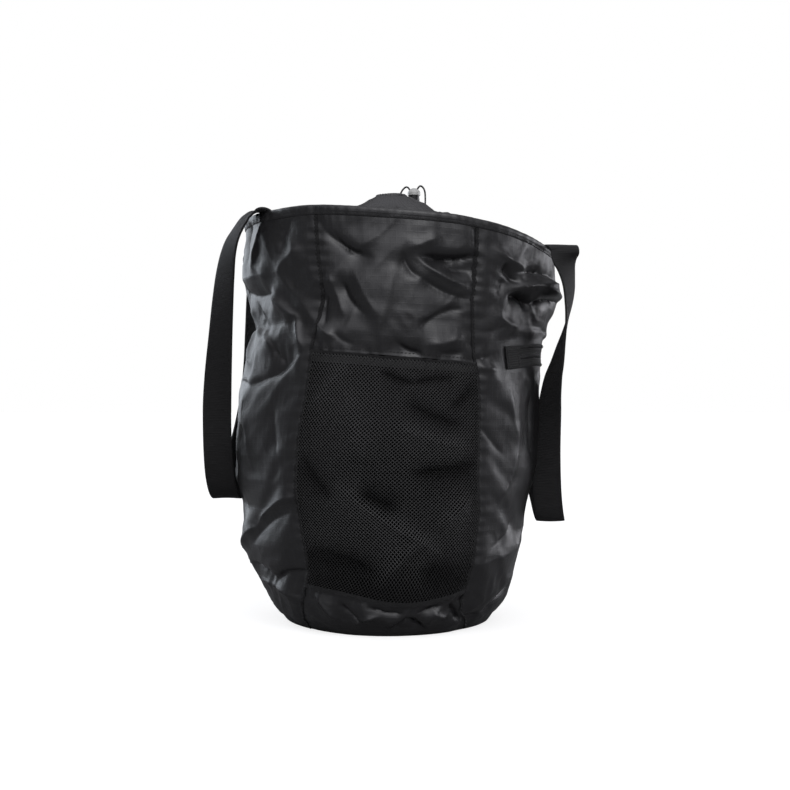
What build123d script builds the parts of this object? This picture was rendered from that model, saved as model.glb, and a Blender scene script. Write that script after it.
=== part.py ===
from build123d import *
import math
import os

# A soft cylindrical rope bag: light nylon shell, mesh pocket on its front, zipped pocket
# on its right side, two webbing handle loops and a collar that a drawcord gathers shut.
# Millimetres, +Z up, front towards -Y. The origin is the middle of the base, on the ground.
# Angles called theta run from the front, through the right side (+X), to the back.

os.makedirs("parts", exist_ok=True)

# ---------------------------------------------------------------- driving dimensions
WALL = 1.4                # wall, as thick as a light cloth with its air needs to be as a solid
BASE_RADIUS = 78.0
BASE_THICK = 1.5
CROWN_HEIGHT = 42.0       # where the rounded lower edge of the bag ends
CROWN_RADIUS = 119.0
BODY_RADIUS = 134.0       # straight part of the body, where the side zip runs
RIM_RADIUS = 137.5
OUTLINE = [
    (CROWN_RADIUS, CROWN_HEIGHT),
    (126.0, 72.0),
    (131.0, 120.0),
    (BODY_RADIUS, 175.0),
    (BODY_RADIUS, 262.0),
    (RIM_RADIUS, 315.0),
    (RIM_RADIUS, 400.0),
]
RIM_HEIGHT = 348.0        # rim above the middle of the base
RIM_TILT = 5.7            # degrees, the right side of the rim is lower
HEM_HEIGHT = 9.0
HEM_LAYER = 1.2
FRONT_HALF_ANGLE = 34.0   # the front panel, and the back one, reach this far each way
SEAM_HALF_ANGLE = 0.7
SEAM_LIFT = 2.2

MESH_TOP = 232.0
MESH_GAP = 1.2
MESH_THICK = 0.8
MESH_HEM = 8.0

COLLAR_CENTRE = (0.0, 2.0)
COLLAR_THICK = 1.5
COLLAR_RIM_RADIUS = 134.8
COLLAR_DROP = 4.0         # its sewn edge below the rim
COLLAR_STEPS = [(37.0, 363.5), (18.6, 369.0), (17.3, 377.0)]
CHANNEL_RADIUS = 14.0
CHANNEL_TUBE = 3.5
CHANNEL_BORE = 1.5
CORD_DIAMETER = 1.6

LOCK_CENTRE = (23.4, 2.0)
LOCK_BASE = 375.6
LOCK_TOP = 381.6
LOCK_BASE_RADIUS = 4.4
LOCK_TOP_RADIUS = 5.0
LOCK_BORE = 3.6
LOCK_FLOOR = 376.4
PLUNGER_RADIUS = 3.52
PLUNGER_END = 380.6
CAP_RADIUS = 5.7
CAP_INNER = 5.15
CAP_BASE = 381.0
CAP_SHOULDER = 383.5
CAP_CEILING = 383.7
CAP_TOP = 387.4
SPRING_SHUT = 2.0         # height of the spring with the button pressed home
LUG_HOLES = [(20.8, 9.45), (25.1, 9.45)]
LUG_HOLE_RADIUS = 1.25
KNOT_RADIUS = 1.9

ZIP_HEIGHT = 236.0
ZIP_START = 53.0
ZIP_END = 129.0
ZIP_SLOT = 2.2            # half the width of the slot in the wall
COIL_START = 60.0
COIL_END = 126.0
SLIDER_REST = 120.0
SLIDER_LENGTH = 12.0
SLIDER_WIDTH = 7.6
SLIDER_INNER = 134.7
SLIDER_OUTER = 136.1
PULLER_AXIS = 137.6       # distance of the puller's hinge from the middle of the bag

STRAP_WIDTH = 25.0
STRAP_THICK = 2.0
HANDLE_DROP = 253.0
HANDLE_TOP_HALF = 78.0    # half the distance between a handle's two legs at the rim
HANDLE_FOOT_HALF = 18.0
HANDLE_BEND = 12.0
HANDLE_SPREAD = 35.6      # degrees from the X axis to where each strap is sewn
STRAP_SEAT = 133.2        # distance of a sewn strap end from the middle of the bag
STRAP_PATCH = 34.0        # its height inside the rim
STRAP_REACH = 113.0       # how far out from the X axis's middle the strap leaves the rim
STRAP_TAPER = 0.45        # slope of a loop's upper ends, which clears the rim as it swings over
HINGE_GAP = 1.6
LEFT_HINGE = (-141.0, 362.5)
RIGHT_HINGE = (145.0, 341.0)

MIDDLE = (Align.CENTER, Align.CENTER, Align.CENTER)
UPWARD = (Align.CENTER, Align.CENTER, Align.MIN)
DOWNWARD = (Align.CENTER, Align.CENTER, Align.MAX)
REACH = 600.0             # larger than the bag in every direction

RIM_PLANE = Plane(
    origin=(0, 0, RIM_HEIGHT),
    z_dir=(math.sin(math.radians(RIM_TILT)), 0, math.cos(math.radians(RIM_TILT))),
)


# ---------------------------------------------------------------- shapes used again and again
def radius_at(z):
    """Outer radius of the body at a height on its straight-sided part."""
    for (r0, z0), (r1, z1) in zip(OUTLINE, OUTLINE[1:]):
        if z <= z1:
            return r0 + (r1 - r0) * (z - z0) / (z1 - z0)
    return OUTLINE[-1][0]


def skin(z_low, z_high, lift, thick):
    """A layer that follows the body all round: lift is its inner face from the outer wall."""
    heights = [z_low] + [z for r, z in OUTLINE if z_low < z < z_high] + [z_high]
    inner = [(radius_at(z) + lift, z) for z in heights]
    outer = [(radius_at(z) + lift + thick, z) for z in reversed(heights)]
    face = make_face(Plane.XZ * Polyline(*inner, *outer, close=True))
    return revolve(face, Axis.Z, 360)


def crown():
    """The rounded lower edge of the wall, from the base panel up to the straight part."""
    inner_end = (CROWN_RADIUS - WALL, CROWN_HEIGHT)
    outline = ThreePointArc((BASE_RADIUS, 0), (105, 14.5), (CROWN_RADIUS, CROWN_HEIGHT))
    outline += Line((CROWN_RADIUS, CROWN_HEIGHT), inner_end)
    outline += ThreePointArc(inner_end, (103.8, 15.8), (BASE_RADIUS, BASE_THICK))
    outline += Line((BASE_RADIUS, BASE_THICK), (BASE_RADIUS, 0))
    return revolve(make_face(Plane.XZ * outline), Axis.Z, 360)


def point_at(theta, radius, z=0.0):
    angle = math.radians(theta)
    return (radius * math.sin(angle), -radius * math.cos(angle), z)


def wedge(start, end):
    """Everything between two angles."""
    middle = (start + end) / 2
    corners = [(0, 0)]
    corners += [point_at(theta, REACH)[:2] for theta in (start, middle, end)]
    return Pos(0, 0, -REACH / 2) * extrude(make_face(Polyline(*corners, close=True)), REACH * 2)


def band(z_low, z_high):
    """Everything between two heights."""
    return Pos(0, 0, z_low) * Box(REACH, REACH, z_high - z_low, align=UPWARD)


def below_rim(offset):
    """Everything under the tilted plane of the rim, moved along its normal."""
    return RIM_PLANE.offset(offset) * Box(REACH, REACH, REACH, align=DOWNWARD)


def ring(r_inner, r_outer, z_low, z_high):
    height = z_high - z_low
    tube = Cylinder(r_outer, height, align=UPWARD) - Cylinder(r_inner, height, align=UPWARD)
    return Pos(0, 0, z_low) * tube


def wall_plane(theta, radius, z):
    """A frame on the wall: x along it, y up, z straight out."""
    return Plane(
        origin=point_at(theta, radius, z),
        x_dir=point_at(theta + 90, 1),
        z_dir=point_at(theta, 1),
    )


def save(shape, name):
    export_step(shape, f"parts/{name}.step")


# ---------------------------------------------------------------- shell of the bag
def make_base():
    save(Cylinder(BASE_RADIUS, BASE_THICK, align=UPWARD), "base_panel")
    save(ring(BASE_RADIUS - 5, BASE_RADIUS - 1, BASE_THICK, BASE_THICK + 2.5), "base_seam_binding")


def make_panels():
    straight = skin(CROWN_HEIGHT, OUTLINE[-1][1], -WALL, WALL) & below_rim(0)
    front = wedge(-FRONT_HALF_ANGLE, FRONT_HALF_ANGLE)
    back = wedge(180 - FRONT_HALF_ANGLE, 180 + FRONT_HALF_ANGLE)
    left = wedge(-180 + FRONT_HALF_ANGLE, -FRONT_HALF_ANGLE)
    right = wedge(FRONT_HALF_ANGLE, 180 - FRONT_HALF_ANGLE)
    rounded = crown()
    whole = straight + rounded
    slot = wedge(ZIP_START + 3, ZIP_END - 3) & band(ZIP_HEIGHT - ZIP_SLOT, ZIP_HEIGHT + ZIP_SLOT)
    save(rounded & front, "front_base_band")
    save(straight & front & band(CROWN_HEIGHT, MESH_TOP), "front_lower_panel")
    save(straight & front & band(MESH_TOP, REACH), "front_upper_panel")
    save(whole & left, "left_side_panel")
    save(whole & back, "back_panel")
    save((whole & right & band(0, ZIP_HEIGHT)) - slot, "right_side_lower_panel")
    save((whole & right & band(ZIP_HEIGHT, REACH)) - slot, "right_side_upper_panel")


def make_seams():
    """Bound seams that run up the four corners of the bag."""
    names = {
        -FRONT_HALF_ANGLE: "front_left_seam_binding",
        FRONT_HALF_ANGLE: "front_right_seam_binding",
        180 - FRONT_HALF_ANGLE: "back_right_seam_binding",
        180 + FRONT_HALF_ANGLE: "back_left_seam_binding",
    }
    strip = skin(CROWN_HEIGHT, OUTLINE[-1][1], 0, SEAM_LIFT) & below_rim(-HEM_HEIGHT - 0.5)
    for theta, name in names.items():
        save(strip & wedge(theta - SEAM_HALF_ANGLE, theta + SEAM_HALF_ANGLE), name)


def make_rim_hem():
    """A folded strip over the top edge of the wall."""
    reach = OUTLINE[-1][1]
    low = RIM_HEIGHT - 60
    block = ring(RIM_RADIUS - WALL - HEM_LAYER, RIM_RADIUS + HEM_LAYER, low, reach)
    block = (block & below_rim(HEM_LAYER)) - below_rim(-HEM_HEIGHT)
    groove = ring(RIM_RADIUS - WALL, RIM_RADIUS, low, reach) & below_rim(0)
    save(block - groove, "rim_hem")


def make_mesh_pocket():
    half = FRONT_HALF_ANGLE - SEAM_HALF_ANGLE - 0.1
    span = wedge(-half, half)
    hem_low = MESH_TOP - MESH_HEM
    save(skin(CROWN_HEIGHT, hem_low, MESH_GAP, MESH_THICK) & span, "mesh_pocket_panel")
    hem = skin(hem_low, MESH_TOP, MESH_GAP - 0.3, MESH_THICK + 0.6)
    save(hem & span, "mesh_pocket_hem")


# ---------------------------------------------------------------- collar and its drawcord
def collar_block(drop):
    """The space under the collar, as a solid with its base in the plane of the rim."""
    foot = RIM_PLANE.offset(-COLLAR_DROP - drop) * Circle(COLLAR_RIM_RADIUS)
    steps = [
        Plane(origin=(*COLLAR_CENTRE, z - drop)) * Circle(radius) for radius, z in COLLAR_STEPS
    ]
    return loft([foot] + steps, ruled=True)


def strap_notch(theta, hinge):
    """Room in the collar's sewn edge for a strap end, open outwards."""
    frame = wall_plane(theta, STRAP_SEAT - STRAP_THICK / 2, hinge[1] + STRAP_THICK)
    inward = (Align.CENTER, Align.MAX, Align.MIN)
    return frame * Box(STRAP_WIDTH, STRAP_PATCH + STRAP_THICK, 20, align=inward)


def make_collar():
    neck_radius = CHANNEL_RADIUS + 0.5
    neck = Pos(*COLLAR_CENTRE, RIM_HEIGHT) * Cylinder(neck_radius, 200, align=MIDDLE)
    skirt = collar_block(0) - collar_block(COLLAR_THICK) - neck
    for hinge, side in ((LEFT_HINGE, -1), (RIGHT_HINGE, 1)):
        for theta in strap_angles(side):
            skirt -= strap_notch(theta, hinge)
    save(skirt, "collar_skirt")
    centre = Pos(*COLLAR_CENTRE, COLLAR_STEPS[-1][1] + CHANNEL_TUBE)
    channel = Torus(CHANNEL_RADIUS, CHANNEL_TUBE) - Torus(CHANNEL_RADIUS, CHANNEL_BORE)
    save(centre * channel, "collar_channel")
    save(centre * Torus(CHANNEL_RADIUS, CORD_DIAMETER / 2), "drawcord_in_channel")


LEFT_TAIL = [
    (20.7, 9.5, 370.0),
    (20.9, 9.4, 378.5),
    (20.3, 9.8, 386.5),
    (17.0, 12.5, 391.0),
    (12.5, 16.5, 387.5),
    (9.8, 20.0, 380.5),
    (8.6, 22.6, 373.5),
]
RIGHT_TAIL = [
    (25.2, 9.5, 368.6),
    (25.0, 9.4, 377.5),
    (25.6, 9.3, 386.0),
    (29.0, 8.6, 391.5),
    (33.2, 8.0, 387.5),
    (33.9, 7.8, 379.5),
    (33.6, 8.1, 371.0),
]


def bend_radii(points):
    """The largest arc that each corner of a route has room for."""
    radii = []
    for before, corner, after in zip(points, points[1:], points[2:]):
        run_in = Vector(*corner) - Vector(*before)
        run_out = Vector(*after) - Vector(*corner)
        half_turn = math.radians(run_in.get_angle(run_out)) / 2
        radii.append(0.45 * min(run_in.length, run_out.length) / math.tan(half_turn))
    return radii


def make_cord(points, name):
    path = FilletPolyline(*points, radius=bend_radii(points))
    section = Plane(origin=path @ 0, z_dir=path % 0) * Circle(CORD_DIAMETER / 2)
    tube = sweep(section, path=path)
    expected = math.pi * (CORD_DIAMETER / 2) ** 2 * path.length
    print(name, "length", round(path.length, 1), "volume share", round(tube.volume / expected, 3))
    print("  radii", [round(radius, 1) for radius in bend_radii(points)])
    save(tube, name)


def make_cord_knots():
    """A round stopper knot on each end of the drawcord, cut flat where the tube meets it."""
    knots = []
    for points in (LEFT_TAIL, RIGHT_TAIL):
        last = Vector(*points[-1])
        direction = (last - Vector(*points[-2])).normalized()
        ball = Pos(last + direction * (KNOT_RADIUS - 0.4)) * Sphere(KNOT_RADIUS)
        knots.append(split(ball, bisect_by=Plane(origin=last, z_dir=direction), keep=Keep.TOP))
    save(Compound(children=knots), "drawcord_knots")


def make_cord_lock():
    """A small spring lock: barrel with a lug for the two cords, cap button and its spring."""
    axis = Pos(*LOCK_CENTRE, LOCK_BASE)
    height = LOCK_TOP - LOCK_BASE
    barrel = axis * Cone(LOCK_BASE_RADIUS, LOCK_TOP_RADIUS, height, align=UPWARD)
    lug = Pos(LOCK_CENTRE[0], 8.0, LOCK_BASE + 0.4) * Box(10, 8, 2.6, align=UPWARD)
    body = barrel + lug - Pos(*LOCK_CENTRE, LOCK_FLOOR) * Cylinder(LOCK_BORE, height, align=UPWARD)
    for x, y in LUG_HOLES:
        body -= Pos(x, y, LOCK_BASE) * Cylinder(LUG_HOLE_RADIUS, 10, align=MIDDLE)
    save(body, "cord_lock_body")

    length = CAP_CEILING - PLUNGER_END + 0.5
    plunger = Pos(0, 0, PLUNGER_END) * Cylinder(PLUNGER_RADIUS, length, align=UPWARD)
    cap = Pos(0, 0, CAP_BASE) * Cylinder(CAP_RADIUS, CAP_SHOULDER - CAP_BASE, align=UPWARD)
    rise = CAP_TOP - CAP_SHOULDER
    dome_radius = (CAP_RADIUS**2 + rise**2) / (2 * rise)
    cap += (Pos(0, 0, CAP_TOP - dome_radius) * Sphere(dome_radius)) & band(CAP_SHOULDER, REACH)
    cap -= Pos(0, 0, CAP_BASE) * Cylinder(CAP_INNER, CAP_CEILING - CAP_BASE, align=UPWARD)
    save(Pos(*LOCK_CENTRE, 0) * (cap + plunger), "cord_lock_button")

    spring = ring(LOCK_BORE - 1.0, LOCK_BORE - 0.3, LOCK_FLOOR, LOCK_FLOOR + SPRING_SHUT)
    save(Pos(*LOCK_CENTRE, 0) * spring, "cord_lock_spring")


# ---------------------------------------------------------------- pocket in the right side
def make_zip():
    covered = wedge(ZIP_START + 3, ZIP_END - 3)
    tape_inner = BODY_RADIUS - WALL - 0.8
    tape_outer = BODY_RADIUS - WALL - 0.1
    upper = ring(tape_inner, tape_outer, ZIP_HEIGHT + 0.8, ZIP_HEIGHT + 12)
    lower = ring(tape_inner, tape_outer, ZIP_HEIGHT - 12, ZIP_HEIGHT - 0.8)
    save(upper & covered, "zip_upper_tape")
    save(lower & covered, "zip_lower_tape")
    meshed = wedge(COIL_START, COIL_END)
    coil_outer = BODY_RADIUS + 0.4
    save(ring(tape_outer, coil_outer, ZIP_HEIGHT + 0.05, ZIP_HEIGHT + 1.9) & meshed, "zip_upper_coil")
    save(ring(tape_outer, coil_outer, ZIP_HEIGHT - 1.9, ZIP_HEIGHT - 0.05) & meshed, "zip_lower_coil")
    tab = ring(BODY_RADIUS + 0.5, BODY_RADIUS + 1.6, ZIP_HEIGHT - 9, ZIP_HEIGHT + 9)
    front_tab_end = ZIP_START + 9.6
    rear_tab_start = SLIDER_REST + 3.0
    save(tab & wedge(ZIP_START, front_tab_end), "zip_front_tab")
    save(tab & wedge(rear_tab_start, ZIP_END), "zip_rear_tab")


def make_slider():
    """The slider's outer plate with a crown that the puller's bar turns under."""
    half = math.degrees(SLIDER_LENGTH / 2 / SLIDER_OUTER)
    low = ZIP_HEIGHT - SLIDER_WIDTH / 2
    high = ZIP_HEIGHT + SLIDER_WIDTH / 2
    plate = ring(SLIDER_INNER, SLIDER_OUTER, low, high)
    plate &= wedge(SLIDER_REST - half, SLIDER_REST + half)
    frame = wall_plane(SLIDER_REST, PULLER_AXIS, ZIP_HEIGHT)
    crown_block = Box(8.0, 2.4, 5.0, align=MIDDLE) - Box(4.0, 3.0, 2.2, align=MIDDLE)
    crown_piece = (frame * crown_block) - Cylinder(SLIDER_OUTER - 0.3, 1000, align=MIDDLE)
    save(plate + crown_piece, "zip_slider")

    rails = Pos(8.0, 0, 0) * Box(17.4, 6.4, 1.3, align=MIDDLE)
    window = Pos(3.3, 0, 0) * Box(5.2, 3.6, 3.0, align=MIDDLE)
    bar = Rot(90, 0, 0) * Cylinder(0.7, 6.4, align=MIDDLE)
    grip = Pos(17.5, 0, 0) * Cylinder(3.6, 1.3, align=MIDDLE)
    turned = Rot(0, 0, 180)
    save(frame * turned * (rails - window + bar + grip), "zip_puller")


def make_side_pocket():
    """A flat pouch inside the wall, open upwards under the zip."""
    low = 112.0
    block = skin(low, ZIP_HEIGHT - 12, -5.4, 3.6) & wedge(ZIP_START + 3, ZIP_END - 3)
    hollow = skin(low + 1.2, ZIP_HEIGHT - 11, -4.6, 2.0) & wedge(ZIP_START + 4, ZIP_END - 4)
    save(block - hollow, "side_pocket_bag")


# ---------------------------------------------------------------- handles and loops
def make_handle(hinge, side, name):
    """A loop of webbing that hangs from two points of the rim and swings about a line."""
    hinge_x, top = hinge
    foot = top - HANDLE_DROP + STRAP_THICK / 2
    route = FilletPolyline(
        (-HANDLE_TOP_HALF, top),
        (-HANDLE_FOOT_HALF, foot),
        (HANDLE_FOOT_HALF, foot),
        (HANDLE_TOP_HALF, top),
        radius=HANDLE_BEND,
    )
    outline = trace(route, STRAP_THICK)
    flat = extrude(Plane.YZ * outline, STRAP_WIDTH if side > 0 else -STRAP_WIDTH)
    far = side * (STRAP_WIDTH + 5)
    low = -HINGE_GAP - STRAP_TAPER * abs(far)
    corners = [(0, -HINGE_GAP), (far, low), (far, 20), (0, 20)]
    trim = extrude(Plane.XZ * make_face(Polyline(*corners, close=True)), 200, both=True)
    save(Pos(hinge_x, 0, 0) * (flat - Pos(0, 0, top) * trim), name)


def strap_angles(side):
    return [side * (90 + HANDLE_SPREAD), side * (90 - HANDLE_SPREAD)]


def strap_end(theta, hinge, side):
    """One end of a handle: sewn inside the rim, over it, and out to the hinge line."""
    hinge_x, top = hinge
    frame = wall_plane(theta, STRAP_SEAT, top + STRAP_THICK / 2)
    hanging = (Align.CENTER, Align.MAX, Align.CENTER)
    outward = (Align.CENTER, Align.MAX, Align.MIN)
    patch = frame * Box(STRAP_WIDTH, STRAP_PATCH, STRAP_THICK, align=hanging)
    over = frame * Box(STRAP_WIDTH, STRAP_THICK, 14, align=outward)
    x0 = side * (abs(hinge_x) - HINGE_GAP)
    x1 = side * STRAP_REACH
    y = math.copysign(HANDLE_TOP_HALF + 1, point_at(theta, 1)[1])
    middle = Pos((x0 + x1) / 2, y, top)
    reach = middle * Box(abs(x0 - x1), STRAP_WIDTH - 3, STRAP_THICK, align=MIDDLE)
    return patch + over + reach


def make_strap_ends(hinge, side, name):
    ends = [strap_end(theta, hinge, side) for theta in strap_angles(side)]
    save(Compound(children=ends), name)


def make_tie_loop():
    """A webbing arch sewn to the base inside, for the rope's first end."""
    arch = ring(10.5, 12.0, 0, 20) & Pos(0, REACH / 2, 0) * Box(REACH, REACH, REACH)
    arch = Pos(-10, 58, BASE_THICK) * Rot(0, 90, 0) * Rot(0, 0, 90) * arch
    save(arch, "rope_tie_loop")


make_base()
make_panels()
make_seams()
make_rim_hem()
make_mesh_pocket()
make_strap_ends(LEFT_HINGE, -1, "left_handle_sewn_ends")
make_strap_ends(RIGHT_HINGE, 1, "right_handle_sewn_ends")
make_collar()
make_cord(LEFT_TAIL, "drawcord_left_tail")
make_cord(RIGHT_TAIL, "drawcord_right_tail")
make_cord_knots()
make_cord_lock()
make_zip()
make_slider()
make_side_pocket()
make_handle(LEFT_HINGE, -1, "left_handle_webbing")
make_handle(RIGHT_HINGE, 1, "right_handle_webbing")
make_tie_loop()
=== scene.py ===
# %% [markdown]
# A soft round rope bag is a lesson in cloth. Nearly all of it is one thin nylon skin, so the
# work is in the way the skin leans, sags and creases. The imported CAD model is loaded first. It
# says where every part is and what moves, and the visible pieces are then built around it.

# %% Load the frame
import math

import bpy
import numpy as np
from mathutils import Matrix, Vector


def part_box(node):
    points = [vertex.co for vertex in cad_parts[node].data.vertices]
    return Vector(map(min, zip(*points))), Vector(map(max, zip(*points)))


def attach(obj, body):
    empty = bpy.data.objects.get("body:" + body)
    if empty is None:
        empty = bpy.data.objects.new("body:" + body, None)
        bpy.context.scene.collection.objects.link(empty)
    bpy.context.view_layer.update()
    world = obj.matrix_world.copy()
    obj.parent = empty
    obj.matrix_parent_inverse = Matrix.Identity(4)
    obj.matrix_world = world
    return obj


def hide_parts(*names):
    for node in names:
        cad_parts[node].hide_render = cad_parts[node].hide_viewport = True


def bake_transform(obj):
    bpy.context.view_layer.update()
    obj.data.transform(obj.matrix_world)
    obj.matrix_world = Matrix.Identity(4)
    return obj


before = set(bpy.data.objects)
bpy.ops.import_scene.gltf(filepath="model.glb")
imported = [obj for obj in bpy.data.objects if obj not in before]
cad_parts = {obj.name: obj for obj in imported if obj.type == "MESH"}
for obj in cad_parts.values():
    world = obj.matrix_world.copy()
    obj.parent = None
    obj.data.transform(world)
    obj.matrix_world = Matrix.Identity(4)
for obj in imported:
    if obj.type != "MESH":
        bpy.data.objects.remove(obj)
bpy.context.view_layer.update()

# %% [markdown]
# The camera stands level with the middle of the bag, a little over a metre in front of it, with
# a moderately long lens. Everything is in metres, with the front of the bag towards -Y.

# %% Camera
camera_data = bpy.data.cameras.new("camera")
camera_data.lens = 65.8
camera = bpy.data.objects.new("camera", camera_data)
camera.location = (0.0063, -1.30, 0.201)
camera.rotation_euler = (math.radians(90), 0, 0)
bpy.context.scene.collection.objects.link(camera)
bpy.context.scene.camera = camera
print("camera", camera_data.lens, "mm")


# %% [markdown]
# A few helpers are used for every piece. Operators act on all that is selected, so each start
# clears the selection first. A soft piece starts as a primitive grid whose two directions, both
# from 0 to 1, are handed to a function that says where each point of the cloth lies.

# %% Helpers for making pieces
def clear_selection():
    if bpy.context.object and bpy.context.object.mode != "OBJECT":
        bpy.ops.object.mode_set(mode="OBJECT")
    bpy.ops.object.select_all(action="DESELECT")


def make_active(piece):
    clear_selection()
    piece.select_set(True)
    bpy.context.view_layer.objects.active = piece


def named(name):
    piece = bpy.context.object
    piece.name = name
    piece.data.name = name
    return piece


def positions(piece):
    flat = np.empty(len(piece.data.vertices) * 3)
    piece.data.vertices.foreach_get("co", flat)
    return flat.reshape(-1, 3)


def move_points(piece, points):
    piece.data.vertices.foreach_set("co", np.asarray(points, float).ravel())
    piece.data.update()


def write_uv(piece, across, along):
    """Writes a UV map from two values per vertex, in metres of cloth."""
    layer = piece.data.uv_layers.active or piece.data.uv_layers.new(name="cloth")
    corners = np.empty(len(piece.data.loops), np.int32)
    piece.data.loops.foreach_get("vertex_index", corners)
    pairs = np.stack([across[corners], along[corners]], axis=1)
    layer.data.foreach_set("uv", pairs.ravel())


def outward(piece):
    """Merges doubles and turns every face outwards."""
    make_active(piece)
    bpy.ops.object.mode_set(mode="EDIT")
    bpy.ops.mesh.select_all(action="SELECT")
    bpy.ops.mesh.remove_doubles(threshold=1e-6)
    bpy.ops.mesh.normals_make_consistent(inside=False)
    bpy.ops.object.mode_set(mode="OBJECT")


def loft(name, columns, rows, shape, width=1.0, length=1.0):
    """A grid of cloth: shape turns its two directions, u and w from 0 to 1, into points."""
    clear_selection()
    bpy.ops.mesh.primitive_grid_add(x_subdivisions=columns, y_subdivisions=rows, size=1)
    piece = named(name)
    flat = positions(piece)
    u, w = flat[:, 0] + 0.5, flat[:, 1] + 0.5
    move_points(piece, shape(u, w))
    write_uv(piece, u * width, w * length)
    return piece


def thicken(piece, depth, offset=-1.0):
    make_active(piece)
    solid = piece.modifiers.new("thickness", "SOLIDIFY")
    solid.thickness = depth
    solid.offset = offset
    bpy.ops.object.modifier_apply(modifier=solid.name)


def smooth(piece, degrees=None):
    make_active(piece)
    if degrees is None:
        bpy.ops.object.shade_smooth()
    else:
        bpy.ops.object.shade_smooth_by_angle(angle=math.radians(degrees))


def dress(piece, material, slot, body, *nodes):
    """Gives a finished piece its material and the body it belongs to, and hides the CAD nodes it replaces.
    The slot is not used.
    """
    piece.data.materials.clear()
    piece.data.materials.append(material)
    if body:
        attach(piece, body)
    if nodes:
        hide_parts(*nodes)
    return piece


def ease(value, low, high):
    """A smooth step from 0 at low to 1 at high."""
    share = np.clip((value - low) / (high - low), 0, 1)
    return share * share * (3 - 2 * share)


# %% [markdown]
# Shader sums are easier to read as sums. A small class wraps a socket and overloads the
# operators, so a line of Python adds the Math nodes that it stands for, and one method makes
# any other node: its type, its settings first, then the values or links of its sockets.

# %% A wrapper for shader sockets
class Wire:
    def __init__(self, tree, socket):
        self.tree = tree
        self.socket = socket

    def math(self, operation, *others, clamp=False):
        inputs = {i: value for i, value in enumerate((self, *others))}
        settings = {"operation": operation, "use_clamp": clamp}
        return add_node(self.tree, "ShaderNodeMath", settings, inputs)[0]

    def __add__(self, other):
        return self.math("ADD", other)

    def __radd__(self, other):
        return self.math("ADD", other)

    def __sub__(self, other):
        return self.math("SUBTRACT", other)

    def __rsub__(self, other):
        inputs = {0: other, 1: self}
        return add_node(self.tree, "ShaderNodeMath", {"operation": "SUBTRACT"}, inputs)[0]

    def __mul__(self, other):
        return self.math("MULTIPLY", other)

    def __rmul__(self, other):
        return self.math("MULTIPLY", other)

    def __pow__(self, other):
        return self.math("POWER", other)


class Outputs:
    """The outputs of a node, by number or name, each as a wire."""
    def __init__(self, tree, node):
        self.tree = tree
        self.node = node

    def __getitem__(self, key):
        return Wire(self.tree, self.node.outputs[key])


def add_node(tree, kind, settings=None, inputs=None):
    """Adds a node of any kind: settings first, then the values or links of its sockets."""
    node = tree.nodes.new(kind)
    for name, value in (settings or {}).items():
        if name == "stops":
            ramp = node.color_ramp
            for stop, (place, shade) in zip(list(ramp.elements), value):
                stop.position = place
                stop.color = (*shade, 1) if hasattr(shade, "__len__") else (shade, shade, shade, 1)
        else:
            setattr(node, name, value)
    for key, value in (inputs or {}).items():
        if isinstance(value, Wire):
            tree.links.new(value.socket, node.inputs[key])
        else:
            node.inputs[key].default_value = value
    return Outputs(tree, node)


def new_material(name, **constants):
    """A material with one Principled shader, whose unchanging values are set on its sockets."""
    material = bpy.data.materials.new(name)
    material.use_nodes = True
    tree = material.node_tree
    shader = next(n for n in tree.nodes if n.type == "BSDF_PRINCIPLED")
    for socket, value in constants.items():
        shader.inputs[socket.replace("_", " ")].default_value = value
    return material, tree, shader


def feed(tree, shader, socket, wire):
    tree.links.new(wire.socket, shader.inputs[socket])


def uv_coordinates(tree):
    return add_node(tree, "ShaderNodeTexCoord")["UV"]


def object_coordinates(tree):
    return add_node(tree, "ShaderNodeTexCoord")["Object"]


def noise(tree, vector, scale, detail=2.0, roughness=0.5):
    inputs = {"Vector": vector, "Scale": scale, "Detail": detail, "Roughness": roughness}
    return add_node(tree, "ShaderNodeTexNoise", None, inputs)[0]


def mix_colors(tree, factor, first, second):
    settings = {"data_type": "RGBA"}
    node = add_node(tree, "ShaderNodeMix", settings).node
    tree.links.new(factor.socket, node.inputs["Factor"])
    colors = [s for s in node.inputs if s.type == "RGBA"]
    for socket, value in zip(colors, (first, second)):
        if isinstance(value, Wire):
            tree.links.new(value.socket, socket)
        else:
            socket.default_value = (*value, 1)
    return Wire(tree, next(s for s in node.outputs if s.type == "RGBA"))


def bump(tree, height, distance, strength=1.0, normal=None):
    inputs = {"Height": height, "Distance": distance, "Strength": strength}
    if normal is not None:
        inputs["Normal"] = normal
    return add_node(tree, "ShaderNodeBump", None, inputs)["Normal"]


# %% [markdown]
# Ripstop nylon is a fine plain weave with thicker threads in a grid every few millimetres. It
# is nearly black, and a thin calendered finish gives it a soft sheen that picks out each fold.
# The pattern reads the cloth's own UV map, in metres, so it bends and creases with the panel.

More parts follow.
